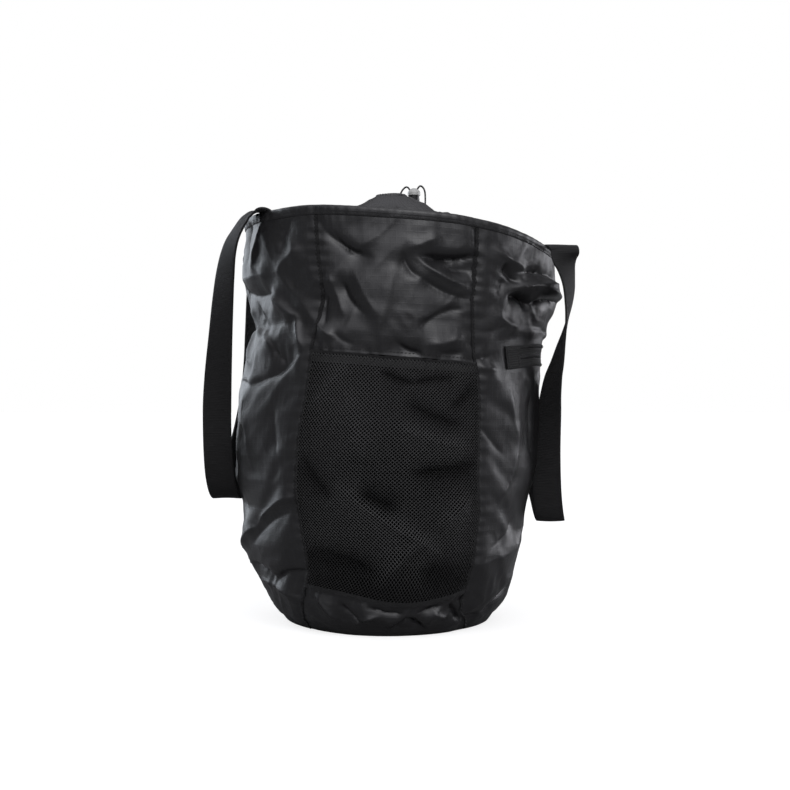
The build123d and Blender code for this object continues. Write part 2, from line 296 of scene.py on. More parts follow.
# %% Ripstop nylon
def make_ripstop(name, shade, grid=0.0052, tint=(1.0, 0.98, 1.04), shine=0.6):
    material, tree, shader = new_material(name, Specular_IOR_Level=shine)
    uv = uv_coordinates(tree)
    split = add_node(tree, "ShaderNodeSeparateXYZ", None, {0: uv})
    lines = []
    weave = []
    for axis in (0, 1):
        across = split[axis] * (2 * math.pi / grid)
        lines.append(across.math("COSINE").math("MAXIMUM", 0.0) ** 24.0)
        weave.append((split[axis] * (2 * math.pi / 0.00055)).math("SINE"))
    ripstop = lines[0].math("MAXIMUM", lines[1])
    threads = weave[0] * weave[1]
    soft = noise(tree, object_coordinates(tree), 26.0, 4.0)
    fine = noise(tree, object_coordinates(tree), 240.0, 3.0, 0.6)
    dark = tuple(shade * 0.8 * t for t in tint)
    light = tuple(shade * 1.25 * t for t in tint)
    color = mix_colors(tree, soft * 0.7 + ripstop * 0.3, dark, light)
    feed(tree, shader, "Base Color", color)
    feed(tree, shader, "Roughness", soft * 0.12 + fine * 0.06 + 0.30)
    height = ripstop * 0.6 + threads * 0.12 + fine * 0.9
    feed(tree, shader, "Normal", bump(tree, height, 0.00012, 0.6))
    return material


nylon = make_ripstop("ripstop_nylon", 0.0105)
# The lining copy is painted ten times darker, with its shine nearly gone. This is painted shade for the
# lining behind the mesh and for the pocket bag inside, which lie in shade.
nylon_lining_painted_shade = make_ripstop("ripstop_nylon_lining_painted_shade", 0.0010, shine=0.03)
print("nylon ready")

# %% [markdown]
# Flat webbing shows close transverse ribs. On the handles the ribs are real geometry, and the
# material adds them again in its colour and bump, with the single threads in each rib and a faint blotchy
# fading.

# %% Webbing, binding, mesh thread and cord
def make_webbing(name, shade, rib=0.00145):
    material, tree, shader = new_material(name, Specular_IOR_Level=0.22, Sheen_Weight=0.06)
    split = add_node(tree, "ShaderNodeSeparateXYZ", None, {0: uv_coordinates(tree)})
    ribs = (split[1] * (2 * math.pi / rib)).math("SINE") * 0.5 + 0.5
    threads = (split[0] * (2 * math.pi / 0.0009)).math("SINE") * 0.5 + 0.5
    blotch = noise(tree, object_coordinates(tree), 60.0, 3.0)
    dark = (shade * 0.6, shade * 0.6, shade * 0.62)
    light = (shade * 1.5, shade * 1.45, shade * 1.5)
    feed(tree, shader, "Base Color", mix_colors(tree, ribs * 0.5 + threads * blotch * 0.5, dark, light))
    feed(tree, shader, "Roughness", 0.72 - ribs * 0.12)
    feed(tree, shader, "Normal", bump(tree, ribs * 0.7 + threads * 0.3, 0.0003, 0.8))
    return material


def make_thread(name, shade, roughness=0.6, painted_shade_attribute=None):
    """Dull thread. With painted_shade_attribute, an attribute of that name darkens it: painted shade where
    the thread lies deep.
    """
    material, tree, shader = new_material(name, Specular_IOR_Level=0.35, Sheen_Weight=0.05)
    twist = noise(tree, object_coordinates(tree), 900.0, 2.0)
    dark = (shade * 0.6,) * 3
    light = (shade * 1.5,) * 3
    color = mix_colors(tree, twist, dark, light)
    if painted_shade_attribute:
        # Painted shade: where the attribute falls towards 0, the colour goes to a twenty-fifth of the
        # thread's shade.
        painted_light_share = add_node(tree, "ShaderNodeAttribute", {"attribute_name": painted_shade_attribute})["Fac"]
        color = mix_colors(tree, painted_light_share, (shade * 0.04,) * 3, color)
    feed(tree, shader, "Base Color", color)
    feed(tree, shader, "Roughness", twist * 0.2 + (roughness - 0.1))
    feed(tree, shader, "Normal", bump(tree, twist, 0.0002, 0.5))
    return material


def make_braid(name):
    """Thin black braided cord with pale flecks where a marker yarn crosses."""
    material, tree, shader = new_material(name, Specular_IOR_Level=0.35, Sheen_Weight=0.1)
    place = object_coordinates(tree)
    flecks = noise(tree, place, 1300.0, 1.0).math("GREATER_THAN", 0.63)
    weave = noise(tree, place, 2200.0, 2.0)
    feed(tree, shader, "Base Color", mix_colors(tree, flecks, (0.012, 0.012, 0.013), (0.30, 0.30, 0.29)))
    feed(tree, shader, "Roughness", weave * 0.2 + 0.6)
    feed(tree, shader, "Normal", bump(tree, weave, 0.0002, 0.8))
    return material


webbing = make_webbing("ribbed_webbing", 0.0105)
binding = make_webbing("binding_tape", 0.010, rib=0.0007)
# The mesh thread is darkened by painted shade, which it reads from an attribute on the net.
mesh_thread = make_thread("mesh_thread", 0.048, painted_shade_attribute="painted_light_share")
stitch_thread = make_thread("stitch_thread", 0.012, 0.5)
braid = make_braid("flecked_braid")
print("webbing, binding, threads and braid ready")


# %% [markdown]
# The hard parts are few: a moulded cord lock, a nylon coil zip and its painted slider. Small
# scratches and a faint mottling in roughness keep them from looking like fresh plastic.

# %% Moulded plastic and painted metal
def make_hard(name, color, roughness, metallic=0.0, coat=0.0):
    material, tree, shader = new_material(name, Metallic=metallic, Coat_Weight=coat)
    place = object_coordinates(tree)
    mottle = noise(tree, place, 320.0, 4.0)
    scratch = noise(tree, place, 1500.0, 2.0)
    dark = tuple(c * 0.85 for c in color)
    light = tuple(min(c * 1.12, 1) for c in color)
    feed(tree, shader, "Base Color", mix_colors(tree, mottle, dark, light))
    feed(tree, shader, "Roughness", mottle * 0.14 + (roughness - 0.07))
    feed(tree, shader, "Normal", bump(tree, scratch, 0.00003, 0.4))
    return material


lock_black = make_hard("black_moulding", (0.012, 0.012, 0.013), 0.30)
lock_grey = make_hard("pale_grey_moulding", (0.40, 0.40, 0.385), 0.28, coat=0.3)
spring_wire = make_hard("spring_wire", (0.55, 0.55, 0.56), 0.32, metallic=1.0)
coil_nylon = make_hard("zip_coil_nylon", (0.012, 0.012, 0.013), 0.42)
zip_paint = make_hard("zip_black_paint", (0.02, 0.02, 0.021), 0.36, coat=0.4)
print("hard finishes ready")

# %% [markdown]
# The bag's skin starts as an even shape: a profile turned about the vertical. Angles run from
# the front (0 degrees) through the right side (90) to the back (180), and a height share from
# 0 at the base edge to 1 at the rim says how far up the cloth a point is.

# %% Driving sizes of the skin
RIM_Z = 0.348
PROFILE_R = np.array([
    78.0, 91.0, 103.5, 112.5, 119.0, 122.9, 126.0, 131.0, 134.0, 134.0, 136.6, 137.5, 137.5,
])
PROFILE_Z = np.array([0.0, 4.0, 12.5, 26.0, 42.0, 57.0, 72.0, 120.0, 175.0, 262.0, 300.0, 320.0, 348.0])
SKIN_RADIUS_MM = 134
MM_PER_DEGREE = math.pi * SKIN_RADIUS_MM / 180
FRONT_SEAM = 34.0         # nominal angle of the front seams, and of the back ones from the back
MESH_LOW = 0.042
MESH_HIGH = 0.232
ZIP_Z = 0.236
ZIP_FROM, ZIP_TO = 48.5, 129.0
COLUMNS = 540
ROWS = 240

steps = np.hypot(np.diff(PROFILE_R), np.diff(PROFILE_Z))
PROFILE_S = np.concatenate([[0], np.cumsum(steps)]) / 1000
CLOTH_HEIGHT = PROFILE_S[-1]
print("cloth height from base to rim", round(CLOTH_HEIGHT, 3))


def share_at(z):
    """Height share of the cloth at a nominal height."""
    return np.interp(np.asarray(z) * 1000, PROFILE_Z, PROFILE_S) / CLOTH_HEIGHT


def profile(share):
    reach = np.asarray(share) * CLOTH_HEIGHT
    return np.interp(reach, PROFILE_S, PROFILE_R) / 1000, np.interp(reach, PROFILE_S, PROFILE_Z) / 1000


def wrapped(degrees):
    return (np.asarray(degrees) + 180) % 360 - 180


def around(degrees, values):
    """A smooth closed curve through values given at angles, from -180 to 180."""
    places, heights = zip(*values)
    places = np.array([p - 360 for p in places] + list(places) + [p + 360 for p in places])
    heights = np.array(list(heights) * 3)
    fine = np.linspace(-180, 180, 721)
    line = np.interp(fine, places, heights)
    kernel = np.hanning(41)
    padded = np.concatenate([line[-41:-1], line, line[1:41]])
    line = np.convolve(padded, kernel / kernel.sum(), mode="same")[40:-40]
    return np.interp(wrapped(degrees), fine, line)


# %% [markdown]
# A real bag never stands straight. Its rim dips towards the right, its upper part leans that
# way, its sides bulge and dent, and its seams wander: they are further apart where the bag is
# full, and close in near the rim and above the base. These few curves bend the even shape.

# %% How the bag leans, bulges and tilts
RIM_HEIGHTS = [
    (-180, 0.350), (-140, 0.354), (-90, 0.3530), (-55, 0.3546), (-32, 0.356), (0, 0.3495),
    (20, 0.3462), (38, 0.3400), (58, 0.3308), (75, 0.3245), (90, 0.3220), (110, 0.326), (145, 0.338),
]
SEAM_Z = [0.0, 0.020, 0.035, 0.054, 0.070, 0.105, 0.131, 0.171, 0.198, 0.224, 0.247, 0.281, 0.307, 0.350]
LEFT_SEAM = [-46, -41, -37.4, -32.4, -32.4, -34.7, -34.8, -32.7, -29.7, -27.8, -27, -26.7, -28.6, -30]
RIGHT_SEAM = [46, 34, 33, 34, 35, 36, 34.6, 34.6, 34.6, 33.5, 31, 27, 26.9, 27]
SIDE_Z = [
    0.0, 0.013, 0.027, 0.042, 0.056, 0.085, 0.106, 0.128,
    0.150, 0.180, 0.215, 0.243, 0.258, 0.272, 0.300, 0.337,
]
LEFT_BULGE = [0, -5, -5.5, -4, 1.5, 1.5, -0.5, 4.0, 4.5, 1.0, -2, -13, -18, -9, 2.5, 0.2]
RIGHT_BULGE = [0, -7, -7.5, -8, -8.5, -9, -6, -3, -1, -1, 2, 3, 3.5, 1, 3.0, 1]
RIM_SHIFT = 0.010
FOOT_Z = [0.0, 0.004, 0.0125, 0.026, 0.042]
FOOT_OUT = [20, 12, 5.5, 1.5, 0]


def seam_angle(curve, z):
    return np.interp(z, SEAM_Z, curve)


def real_angle(degrees, z):
    """Where a nominal angle really lies, with the seams wandering."""
    degrees = wrapped(degrees)
    left = seam_angle(LEFT_SEAM, z)
    right = seam_angle(RIGHT_SEAM, z)
    back = 180 - FRONT_SEAM
    front_part = np.interp(degrees, [-FRONT_SEAM, FRONT_SEAM], [0, 1])
    inside = left + (right - left) * front_part
    on_right = right + (back - right) * np.clip((degrees - FRONT_SEAM) / (back - FRONT_SEAM), 0, 1)
    on_left = left + (back + left) * -np.clip((-degrees - FRONT_SEAM) / (back - FRONT_SEAM), 0, 1)
    side = np.where(degrees > 0, on_right, on_left)
    return np.where(np.abs(degrees) <= FRONT_SEAM, inside, np.where(np.abs(degrees) >= back, degrees, side))


def even_shape(degrees, share):
    """The bag's skin with its lean and bulges, and no creases yet."""
    degrees, share = np.broadcast_arrays(np.asarray(degrees, float), np.asarray(share, float))
    r, z = profile(share)
    angle = real_angle(degrees, z)
    tilt = around(angle, RIM_HEIGHTS) - RIM_Z
    sag = -0.014 * np.exp(-(((angle - 8) / 26) ** 2)) * np.exp(-(((z - 0.040) / 0.022) ** 2))
    lip = -0.0052 * np.clip(degrees / FRONT_SEAM, -1, 1) * np.exp(-(((z - MESH_HIGH) / 0.035) ** 2))
    lip = lip * ease(np.abs(wrapped(degrees)), 75, 40)
    left = np.exp(-((wrapped(angle + 90) / 42) ** 2)) * np.interp(z, SIDE_Z, LEFT_BULGE) / 1000
    right = np.exp(-((wrapped(angle - 90) / 42) ** 2)) * np.interp(z, SIDE_Z, RIGHT_BULGE) / 1000
    foot = np.exp(-((angle / 55) ** 2)) * np.interp(z, FOOT_Z, FOOT_OUT) / 1000
    r = r + left + right + foot
    shift = RIM_SHIFT * ease(z, 0.235, 0.300)
    z = z + tilt * np.clip((z - 0.250) / (RIM_Z - 0.250), 0, 1) + sag + lip
    turn = np.radians(angle)
    return np.stack([r * np.sin(turn) + shift, -r * np.cos(turn), z], axis=-1)


# %% [markdown]
# The skin is a primitive cylinder without ends. Only its upright edges are selected and
# subdivided, which rings it with rows of cloth, and each point then goes where the even shape
# says. Columns and rows stay in order, so later pieces can be placed on the same skin.

# %% The skin as a subdivided cylinder
def split_uprights(piece, cuts):
    """Subdivides only the upright edges of a piece."""
    bpy.ops.object.mode_set(mode="EDIT")
    bpy.ops.mesh.select_mode(type="EDGE")
    bpy.ops.mesh.select_all(action="DESELECT")
    bpy.ops.object.mode_set(mode="OBJECT")
    for edge in piece.data.edges:
        ends = [piece.data.vertices[i].co for i in edge.vertices]
        edge.select = abs(ends[0].z - ends[1].z) > 1e-4
    bpy.ops.object.mode_set(mode="EDIT")
    bpy.ops.mesh.subdivide(number_cuts=cuts)
    bpy.ops.object.mode_set(mode="OBJECT")


def upright_cylinder(name, columns, rows, first_cuts):
    """A tube with its rows of faces made in two goes, since one go makes at most 100 cuts."""
    clear_selection()
    bpy.ops.mesh.primitive_cylinder_add(
        vertices=columns, radius=1, depth=1, end_fill_type="NOTHING", location=(0, 0, 0.5)
    )
    piece = named(name)
    bpy.ops.object.transform_apply(location=True, rotation=False, scale=False)
    split_uprights(piece, first_cuts)
    split_uprights(piece, rows // (first_cuts + 1) - 1)
    return piece


skin = upright_cylinder("bag_skin", COLUMNS, ROWS, 14)
raw = positions(skin)
skin_share = raw[:, 2]
skin_angle = np.degrees(np.arctan2(raw[:, 0], -raw[:, 1]))
column = np.round((skin_angle + 180) / 360 * COLUMNS).astype(int) % COLUMNS
row = np.round(skin_share * ROWS).astype(int)
order = np.empty((ROWS + 1, COLUMNS), int)
order[row, column] = np.arange(len(raw))
GRID_ANGLE = np.arange(COLUMNS) * 360 / COLUMNS - 180
GRID_SHARE = np.arange(ROWS + 1) / ROWS
angle_grid, share_grid = np.meshgrid(GRID_ANGLE, GRID_SHARE)
skin_grid = even_shape(angle_grid, share_grid)
print("skin points", skin_grid.shape)

# %% [markdown]
# Loose nylon makes its own folds when there is a little more cloth than the shape needs. So a
# coarse copy of the skin is given to Cloth with a negative shrink factor, which makes it grow.
# Its seams, rim, base and zip are pinned, as they are sewn, and the cloth between them buckles.
# Only the result is kept: how far each point moved, read back and smoothed onto the fine skin.

# %% Cloth simulation of the loose panels
SIM_COLUMNS, SIM_ROWS, SIM_FRAMES = 240, 100, 24
SLACK = 0.046
SEAM_ANGLES = (-FRONT_SEAM, FRONT_SEAM, 180 - FRONT_SEAM, -180 + FRONT_SEAM)


def sewn_weight(degrees, z):
    """How firmly each point of the skin is held by a seam, the rim, the base or the zip."""
    held = np.maximum(ease(z, RIM_Z - 0.006, RIM_Z - 0.002), ease(z, 0.010, 0.004))
    for seam in SEAM_ANGLES:
        held = np.maximum(held, 1 - np.abs(wrapped(degrees - seam)) * MM_PER_DEGREE / 2.5)
    for edge in (MESH_LOW, MESH_HIGH):
        band = 1 - np.abs(z - edge) / 0.003
        held = np.maximum(held, np.where(np.abs(degrees) < FRONT_SEAM, band, 0))
    by_zip = (np.abs(z - ZIP_Z) < 0.010) & (degrees > ZIP_FROM) & (degrees < ZIP_TO)
    return np.maximum(held, by_zip * 0.9)


def loosen():
    """Runs the simulation and returns each point's move on a grid of rows and columns."""
    loose = upright_cylinder("loose_skin", SIM_COLUMNS, SIM_ROWS, 9)
    flat = positions(loose)
    degrees = np.degrees(np.arctan2(flat[:, 0], -flat[:, 1]))
    start = even_shape(degrees, flat[:, 2])
    move_points(loose, start)
    sewn = loose.vertex_groups.new(name="sewn")
    for i, weight in enumerate(sewn_weight(degrees, profile(flat[:, 2])[1])):
        if weight > 0:
            sewn.add([i], float(weight), "REPLACE")
    cloth = loose.modifiers.new("cloth", "CLOTH")
    settings = cloth.settings
    settings.quality = 6
    settings.mass = 0.05
    settings.tension_stiffness = 20
    settings.compression_stiffness = 20
    settings.shear_stiffness = 8
    settings.bending_stiffness = 0.2
    settings.tension_damping = 8
    settings.compression_damping = 8
    settings.shear_damping = 8
    settings.bending_damping = 0.4
    settings.air_damping = 4
    settings.shrink_min = -SLACK
    settings.vertex_group_mass = "sewn"
    settings.pin_stiffness = 6
    settings.effector_weights.gravity = 0.6
    cloth.collision_settings.use_collision = False
    cloth.point_cache.frame_start = 1
    cloth.point_cache.frame_end = SIM_FRAMES
    for frame_number in range(1, SIM_FRAMES + 1):
        bpy.context.scene.frame_set(frame_number)
    settled = loose.evaluated_get(bpy.context.evaluated_depsgraph_get())
    move = positions(settled) - start
    bpy.context.scene.frame_set(1)
    column = np.round((degrees + 180) / 360 * SIM_COLUMNS).astype(int) % SIM_COLUMNS
    row = np.round(flat[:, 2] * SIM_ROWS).astype(int)
    grid = np.zeros((SIM_ROWS + 1, SIM_COLUMNS, 3))
    grid[row, column] = move
    make_active(loose)
    bpy.ops.object.delete()
    return grid


def cubic_weights(places, count, closed):
    """Rows of Catmull-Rom weights that read a line of values at places between its points."""
    weights = np.zeros((len(places), count))
    i = np.floor(places).astype(int)
    t = places - i
    taps = (
        -t / 2 + t**2 - t**3 / 2, 1 - 2.5 * t**2 + 1.5 * t**3,
        t / 2 + 2 * t**2 - 1.5 * t**3, (t**3 - t**2) / 2,
    )
    for k, tap in enumerate(taps):
        at = (i + k - 1) % count if closed else np.clip(i + k - 1, 0, count - 1)
        np.add.at(weights, (np.arange(len(places)), at), tap)
    return weights


def spread(grid):
    """The coarse grid of moves, read smoothly at every point of the fine skin."""
    up = cubic_weights(GRID_SHARE * SIM_ROWS, SIM_ROWS + 1, False)
    across = cubic_weights((GRID_ANGLE + 180) / 360 * SIM_COLUMNS, SIM_COLUMNS, True)
    return np.stack([up @ grid[..., k] @ across.T for k in range(3)], axis=-1)


def blurred(grid, reach):
    """A grid of moves averaged over a few points each way, closed round the bag."""
    kernel = np.hanning(2 * reach + 3)[1:-1]
    kernel = kernel / kernel.sum()
    padded = np.pad(grid, ((0, 0), (reach, reach), (0, 0)), mode="wrap")
    grid = sum(weight * padded[:, k:k + SIM_COLUMNS] for k, weight in enumerate(kernel))
    padded = np.pad(grid, ((reach, reach), (0, 0), (0, 0)), mode="edge")
    return sum(weight * padded[k:k + SIM_ROWS + 1] for k, weight in enumerate(kernel))


def folds_only(grid):
    """Takes out most of the broad outward swelling and the smallest ripples."""
    return blurred(grid, 1) - 0.85 * blurred(grid, 15)


slack_moves = spread(folds_only(loosen()))
length = np.linalg.norm(slack_moves, axis=-1, keepdims=True)
LIMIT = 0.010
slack_moves = slack_moves * LIMIT * np.tanh(length / LIMIT) / np.maximum(length, 1e-9)
print("cloth moved up to", round(float(length.max()) * 1000, 1), "mm")

# %% [markdown]
# Nylon creases sharply: a fold has one steep flank and one shallow one, and it fades at both
# ends. Each crease here is a short stroke on the cloth, as a sculptor would draw it, from one
# angle and height to another, with its half width, its depth (inwards if negative), its bow and
# its lean. The strokes fan out from where the cloth is pulled: the rim's low end, the seams and
# the lower corners.

# %% Creases drawn one by one
CREASES = [
    # front upper panel: two slanting valleys off the left seam, a long one in the middle
    (-27, 331, -9, 310, 5, -5.0, 4, 0.3), (-23, 328, -14, 311, 3, -2.5, 2, 0.2),
    (-21, 294, -9, 265, 7, -5.5, 4, 0.4), (-26, 300, -17, 262, 5, 3.0, 0, 0.0),
    (-26, 283, -24, 250, 4, -2.5, 0, 0.2), (-16, 300, -3, 262, 9, 3.0, 3, 0.0),
    # front upper panel: the wide hollow at the right and the ridge under it
    (7, 313, 27, 317, 8, -9.5, 3, 0.6), (6, 311, 24, 291, 4, 4.5, 3, -0.3),
    (15, 303, 29, 305, 8, -5.0, 0, 0.2), (1, 315, 6, 296, 4, -4.0, 2, 0.2),
    (5, 299, 28, 280, 5, -4.5, 4, 0.4), (3, 318, 14, 330, 6, 3.0, 0, 0.0),
    (10, 256, 25, 273, 6, -5.0, -5, 0.3), (8, 262, 22, 284, 7, 3.5, 3, 0.0),
    (-2, 300, -4, 248, 12, 3.5, 0, 0.0), (2, 246, 12, 236, 4, -3.0, 2, 0.3),
    (14, 244, 27, 252, 5, 3.0, 2, 0.0), (18, 238, 28, 240, 4, -3.0, 1, 0.2),
    (-28, 258, -18, 244, 4, 3.0, 2, 0.2), (-20, 250, -12, 240, 4, -2.5, 2, 0.2),
    # right side: folds that fan out from the low end of the rim
    (84, 318, 44, 309, 6, -6.0, 5, 0.3), (84, 317, 42, 294, 5, 6.0, 2, -0.4),
    (43, 287, 58, 281, 6, -13.0, -3, 0.4), (55, 281, 88, 296, 6, -12.0, -4, 0.4),
    (60, 304, 92, 303, 10, 9.0, 3, 0.0), (39, 316, 47, 301, 6, -8.0, 2, 0.3),
    (40, 302, 38, 286, 5, -4.5, 0, 0.2), (34, 326, 52, 316, 6, 4.0, 2, 0.0),
    (36, 276, 52, 262, 8, 4.0, 3, 0.2), (34, 256, 44, 264, 4, -3.0, 2, 0.2),
    (33, 236, 50, 249, 4, -3.5, 3, 0.3), (34, 230, 52, 226, 4, 2.5, 1, 0.2),
    (62, 262, 88, 258, 6, -3.5, -3, 0.2), (98, 312, 124, 284, 7, -5.0, 5, 0.3),
    (104, 322, 138, 306, 7, -4.5, 4, 0.2), (96, 290, 116, 262, 7, 4.0, 4, 0.2),
    # right side: long soft folds down the body and the pinched lower corner
    (50, 214, 57, 160, 10, 2.5, 5, 0.0), (57, 160, 45, 108, 8, 3.0, -4, 0.2),
    (66, 208, 74, 140, 9, -2.5, 6, 0.2), (80, 200, 84, 120, 10, 3.0, 3, 0.0),
    (35, 178, 48, 150, 6, -2.0, 2, 0.2), (36, 14, 47, 15, 5, -5.0, -1, 0.2),
    (46, 15, 74, 36, 5, -6.0, -4, 0.3), (44, 25, 72, 52, 9, 4.0, -3, 0.0),
    (34, 60, 64, 70, 20, 7.0, 0, 0.0), (40, 70, 60, 96, 8, -2.5, 4, 0.2),
    (62, 60, 84, 90, 9, 3.0, -4, 0.0),
    # left side: the bright bent ridge and the facets beside it
    (-84, 292, -52, 285, 6, -5.0, 4, 0.3), (-54, 287, -36, 262, 5, 5.5, 2, 0.3),
    (-37, 264, -32, 234, 4, 4.0, 1, 0.3), (-78, 284, -58, 246, 7, 5.0, 3, 0.4),
    (-70, 280, -52, 252, 6, -5.0, 3, 0.3), (-84, 262, -66, 228, 6, 4.5, 4, 0.4),
    (-60, 262, -46, 236, 6, 4.0, 2, 0.3), (-32, 231, -64, 209, 5, -4.5, -5, 0.3),
    (-64, 209, -88, 214, 6, -4.0, 2, 0.2), (-50, 246, -40, 222, 5, -3.0, 2, 0.2),
    (-40, 340, -46, 316, 7, -3.5, 3, 0.2), (-54, 344, -66, 306, 7, 4.0, 4, 0.2),
    (-68, 344, -74, 312, 6, -5.0, 4, 0.3), (-36, 318, -48, 300, 6, 3.0, 2, 0.2),
    (-92, 330, -108, 290, 7, 5.0, 4, 0.3), (-100, 338, -124, 300, 6, -4.5, 4, 0.2),
    # left side: body folds, the long lower crease and the shadowed fold near the base
    (-70, 200, -60, 140, 9, 3.5, -5, 0.2), (-84, 196, -78, 130, 8, -3.0, 4, 0.2),
    (-46, 190, -44, 150, 7, -2.0, 2, 0.0), (-34, 118, -62, 88, 6, 4.5, 4, 0.4),
    (-62, 88, -86, 60, 6, 5.0, 3, 0.3), (-36, 106, -66, 74, 8, -4.0, 4, 0.3),
    (-80, 52, -52, 42, 6, -7.0, -4, 0.3), (-54, 43, -33, 54, 5, -6.0, -3, 0.3),
    (-76, 40, -40, 30, 5, 4.5, -4, 0.2), (-88, 120, -70, 100, 7, -3.0, 3, 0.2),
    # base band: puckers under the mesh and the V where the band folds under
    (2, 8, 9, 28, 3, -6.0, 1, 0.3), (9, 28, 17, 7, 3, -6.0, 1, 0.3),
    (-20, 34, -9, 13, 3, -5.0, 2, 0.3), (-30, 37, -22, 16, 4, 4.5, 1, 0.2),
    (19, 34, 27, 20, 4, 4.5, 2, 0.2), (-4, 27, -15, 10, 4, 4.5, 2, 0.0),
    (27, 36, 35, 12, 3, -6.0, 1, 0.3), (-8, 36, 6, 33, 3, -4.0, 1, 0.2),
    (12, 34, 24, 38, 3, -4.0, 1, 0.2),
]


def stroke_height(angle, height, stroke):
    """How far one crease moves the cloth in or out, in metres."""
    a0, z0, a1, z1, half_width, depth, bow, lean = stroke
    along = np.array([(a1 - a0) * MM_PER_DEGREE, z1 - z0])
    reach = np.hypot(*along)
    x = wrapped(angle - a0) * MM_PER_DEGREE
    y = height * 1000 - z0
    t = (x * along[0] + y * along[1]) / reach**2
    off = (x * along[1] - y * along[0]) / reach - bow * np.sin(np.pi * np.clip(t, 0, 1))
    width = np.where(off > 0, half_width * (1 + lean), half_width * (1 - lean))
    fade = ease(t, -0.12, 0.3) * ease(1 - t, -0.12, 0.3)
    return depth / 1000 * fade * np.exp(-((np.abs(off) / width) ** 0.98))


# %% [markdown]
# Between the big folds the cloth is finely crumpled. That comes from ridged noise, read along
# the skin itself, so it closes round the bag, and from a few strokes with seeded places behind.
# Seams pucker a little: the stitching draws the cloth in every centimetre or so.

# %% Natural crumple and puckers
from mathutils import noise as field

rng = np.random.default_rng(7)


def ridged(points, size, warp, offset):
    """Ridged noise at points of the skin, about -0.5 to 0.5, with features of one size."""
    values = np.empty(len(points))
    for i, (x, y, z) in enumerate(points / size):
        wx = field.noise(Vector((x * 0.6 + offset, y * 0.6, z * 0.6)))
        wz = field.noise(Vector((x * 0.6, y * 0.6 - offset, z * 0.6)))
        values[i] = field.noise(Vector((x + warp * wx, y + warp * wx, z + warp * wz + offset)))
    return 0.5 - np.abs(values) * 2.2


even_points = skin_grid.reshape(-1, 3)
angles = real_angle(angle_grid, profile(share_grid)[1]).ravel()
heights = profile(share_grid)[1].ravel()
nominal = angle_grid.ravel()
front = np.exp(-((angles / 60.0) ** 4))
upper = ease(heights, 0.225, 0.27)
lower = ease(heights, 0.075, 0.03)
calm = 1 - ease(heights, 0.335, 0.348) * 0.6 - ease(heights, 0.012, 0.0) * 0.9
amount = (0.0008 + 0.0010 * upper + 0.0012 * lower) * calm
crumple = ridged(even_points, 0.060, 1.4, 3.1) * amount
crumple += ridged(even_points, 0.026, 1.0, 8.7) * amount * 0.38
crumple += ridged(even_points, 0.011, 0.7, 5.3) * amount * 0.10


def random_stroke():
    """A seeded crease on the back half, mostly slanting, and deeper near the rim and base."""
    angle = rng.uniform(98, 262)
    height = rng.choice([rng.uniform(20, 90), rng.uniform(90, 230), rng.uniform(235, 325)])
    slant = rng.uniform(-34, 34) * 2
    run = rng.uniform(6, 20)
    depth = rng.choice([-1, 1]) * rng.uniform(2.0, 5.0) * (0.6 if 90 < height < 230 else 1.0)
    return (angle, height, angle + run, height + slant, rng.uniform(4, 9), depth, rng.uniform(-5, 5), 0.2)


strokes = CREASES + [random_stroke() for _ in range(24)]
for stroke in strokes:
    crumple += stroke_height(angles, heights, stroke)

seam_pull = np.zeros_like(crumple)
for number, seam in enumerate(SEAM_ANGLES):
    gap = wrapped(nominal - seam) * MM_PER_DEGREE
    beat = np.sin(heights * 1000 * 2 * math.pi / 9.5 + 2.1 * np.sin(heights * 61 + number))
    reach = 9 + 3 * np.sin(heights * 47 + 2 * number)
    seam_pull += np.exp(-((gap / reach) ** 2)) * (0.0004 * beat - 0.0010)
hem_gap = (RIM_Z - heights) * 1000 - 6
beat = np.sin(np.radians(nominal) * 94 + 1.7 * np.sin(np.radians(nominal) * 11))
seam_pull += np.exp(-((hem_gap / 8) ** 2)) * 0.0001 * beat
for edge in (MESH_LOW, MESH_HIGH):
    gap = (heights - edge) * 1000
    beat = np.sin(np.radians(nominal) * 70 + 1.3 * np.sin(np.radians(nominal) * 17 + edge * 90))
    seam_pull += np.exp(-((gap / 8) ** 2)) * front * (0.0005 * beat - 0.0006)
crumple += seam_pull

on_zip = ease(np.abs(heights - ZIP_Z), 0.020, 0.010) * ease(nominal, 38, 47) * ease(nominal, 142, 132)
crumple *= 1 - on_zip
crumple = np.where(crumple > 0.004, 0.004 + (crumple - 0.004) * 0.6, crumple)
behind_mesh = (np.abs(nominal) < FRONT_SEAM) * ease(heights, 0.036, 0.05) * ease(heights, 0.238, 0.226)
crumple = crumple * (1 - 0.75 * behind_mesh) - 0.0012 * behind_mesh


# %% [markdown]
# The creases move the cloth along its own outward direction. That direction comes from the even
# shape, so neighbouring folds never cross. The lowest cloth lies flat on the ground.

# %% Crease the skin
def grid_normals(grid):
    """Outward unit direction at every point of a grid that closes round the bag."""
    across = np.roll(grid, -1, axis=1) - np.roll(grid, 1, axis=1)
    up = np.gradient(grid, axis=0)
    direction = np.cross(across, up)
    return direction / np.linalg.norm(direction, axis=-1, keepdims=True)


